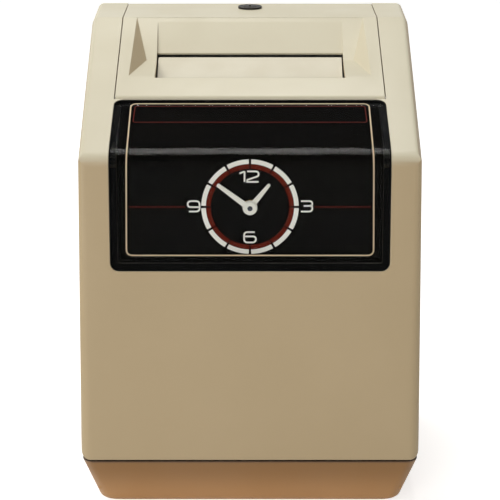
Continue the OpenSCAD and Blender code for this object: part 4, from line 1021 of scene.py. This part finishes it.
def make_spring():
    low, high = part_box("plunger_spring")
    spring = make_piece("coil_spring", wire_rings(low, high), wire_faces(), turned_steel)
    spring.data.shade_smooth()
    length = high.z - low.z
    keep = 1 - joint("plunger_slide")["range_m"][1] / length
    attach(spring, "chassis")
    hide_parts("plunger_spring")
    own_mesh(spring)
    return spring, length, keep


coil_spring, spring_length, spring_keep = make_spring()
pressed_length = spring_length * spring_keep
print(coil_spring.name, round(spring_length / MM, 2), "mm, pressed to", round(pressed_length / MM, 2), "mm")

# %% [markdown]
# The stage is a wide pale floor under a sky that is brighter at its sides. Floor and sky are white for the
# camera, and for rays that were mirrored or refracted on their way, so the background is white, metal shows
# it too, and the light on the object stays plain. Overhead, where no camera looks, the white fades as under a
# studio's ceiling, so the black slope stays black.

# %% Floor and sky
FLOOR_SIZE = 30
FLOOR_PAPER, FLOOR_ROUGH, FLOOR_GLOW = (0.86, 0.85, 0.83, 1), 0.9, 0.72
WHITE = (1, 1, 1, 1)
SKY_COLOUR = (1.0, 0.985, 0.96, 1)
SKY_RISE, SKY_STRENGTH = (0.1, 0.75), (0.34, 0.09)
WHITE_RISE, WHITE_STRENGTH = (0.45, 0.8), (1.0, 0.15)


def white_share(tree):
    """One for a ray that shows the background, and nought for a ray that only gathers light."""
    path = add(tree, "LightPath").outputs
    straight = calc(tree, "MAXIMUM", path["Is Camera Ray"], path["Is Glossy Ray"])
    return calc(tree, "MAXIMUM", straight, path["Is Transmission Ray"])


def make_floor():
    bpy.ops.mesh.primitive_plane_add(size=FLOOR_SIZE, location=(0, 0, 0))
    floor = bpy.context.object
    floor.name = "floor"
    material, tree, surface = new_material("floor_paper")
    fill(tree, surface, Base_Color=FLOOR_PAPER, Roughness=FLOOR_ROUGH, Specular_IOR_Level=0.0)
    lift = add(tree, "Emission", Color=WHITE, Strength=FLOOR_GLOW)
    both = add(tree, "AddShader", _0=surface.outputs[0], _1=lift.outputs[0])
    show(tree, add(tree, "MixShader", _0=white_share(tree), _1=surface.outputs[0], _2=both.outputs[0]))
    floor.data.materials.append(material)
    return floor


def make_sky():
    world = bpy.data.worlds.new("studio")
    world.use_nodes = True
    tree = world.node_tree
    tree.nodes.clear()
    up = add(tree, "SeparateXYZ", Vector=add(tree, "TexCoord").outputs["Generated"]).outputs["Z"]
    sky = add(tree, "Background", Color=SKY_COLOUR, Strength=spread(tree, up, *SKY_RISE, *SKY_STRENGTH))
    white = add(tree, "Background", Color=WHITE, Strength=spread(tree, up, *WHITE_RISE, *WHITE_STRENGTH))
    mix = add(tree, "MixShader", _0=white_share(tree), _1=sky.outputs[0], _2=white.outputs[0])
    add(tree, "OutputWorld", Surface=mix.outputs[0])
    bpy.context.scene.world = world
    return world


floor = make_floor()
sky = make_sky()
print("stage:", floor.name, sky.name)

# %% [markdown]
# Three soft lamps light the stage: a large one high on the left, a small one overhead, and a large one far in
# front on the left. The small lamp could be wider, but the lens would then mirror it over the whole slope. At
# this size it draws only the light band along the bend.

# %% Lamps
SOFT_WHITE, WARM_WHITE = (1.0, 0.99, 0.97), (1.0, 0.98, 0.95)


def area_lamp(name, place, aim, size, power, colour):
    data = bpy.data.lights.new(name, "AREA")
    data.shape = "RECTANGLE"
    data.size, data.size_y = size
    data.energy = power
    data.color = colour
    lamp = link_object(name, data)
    lamp.location = place
    point_along(lamp, Vector(aim) - Vector(place))
    return lamp


key = area_lamp(
    "key_lamp",
    place=(-1.2, -0.15, 1.6),
    aim=(0, 0, 0.15),
    size=(1.05, 1.05),
    power=12.8,
    colour=SOFT_WHITE,
)
top = area_lamp(
    "bend_lamp",
    place=(-0.02, 0.33, 1.2),
    aim=(-0.02, 0.329, 0.1),
    size=(0.32, 0.34),
    power=5.2,
    colour=SOFT_WHITE,
)
front = area_lamp(
    "fill_lamp",
    place=(-0.98, -2.45, 0.85),
    aim=(0, 0, 0.1),
    size=(1.4, 1.4),
    power=26.0,
    colour=WARM_WHITE,
)
bpy.context.scene.view_settings.view_transform = "Standard"
print("lamps:", key.name, top.name, front.name)
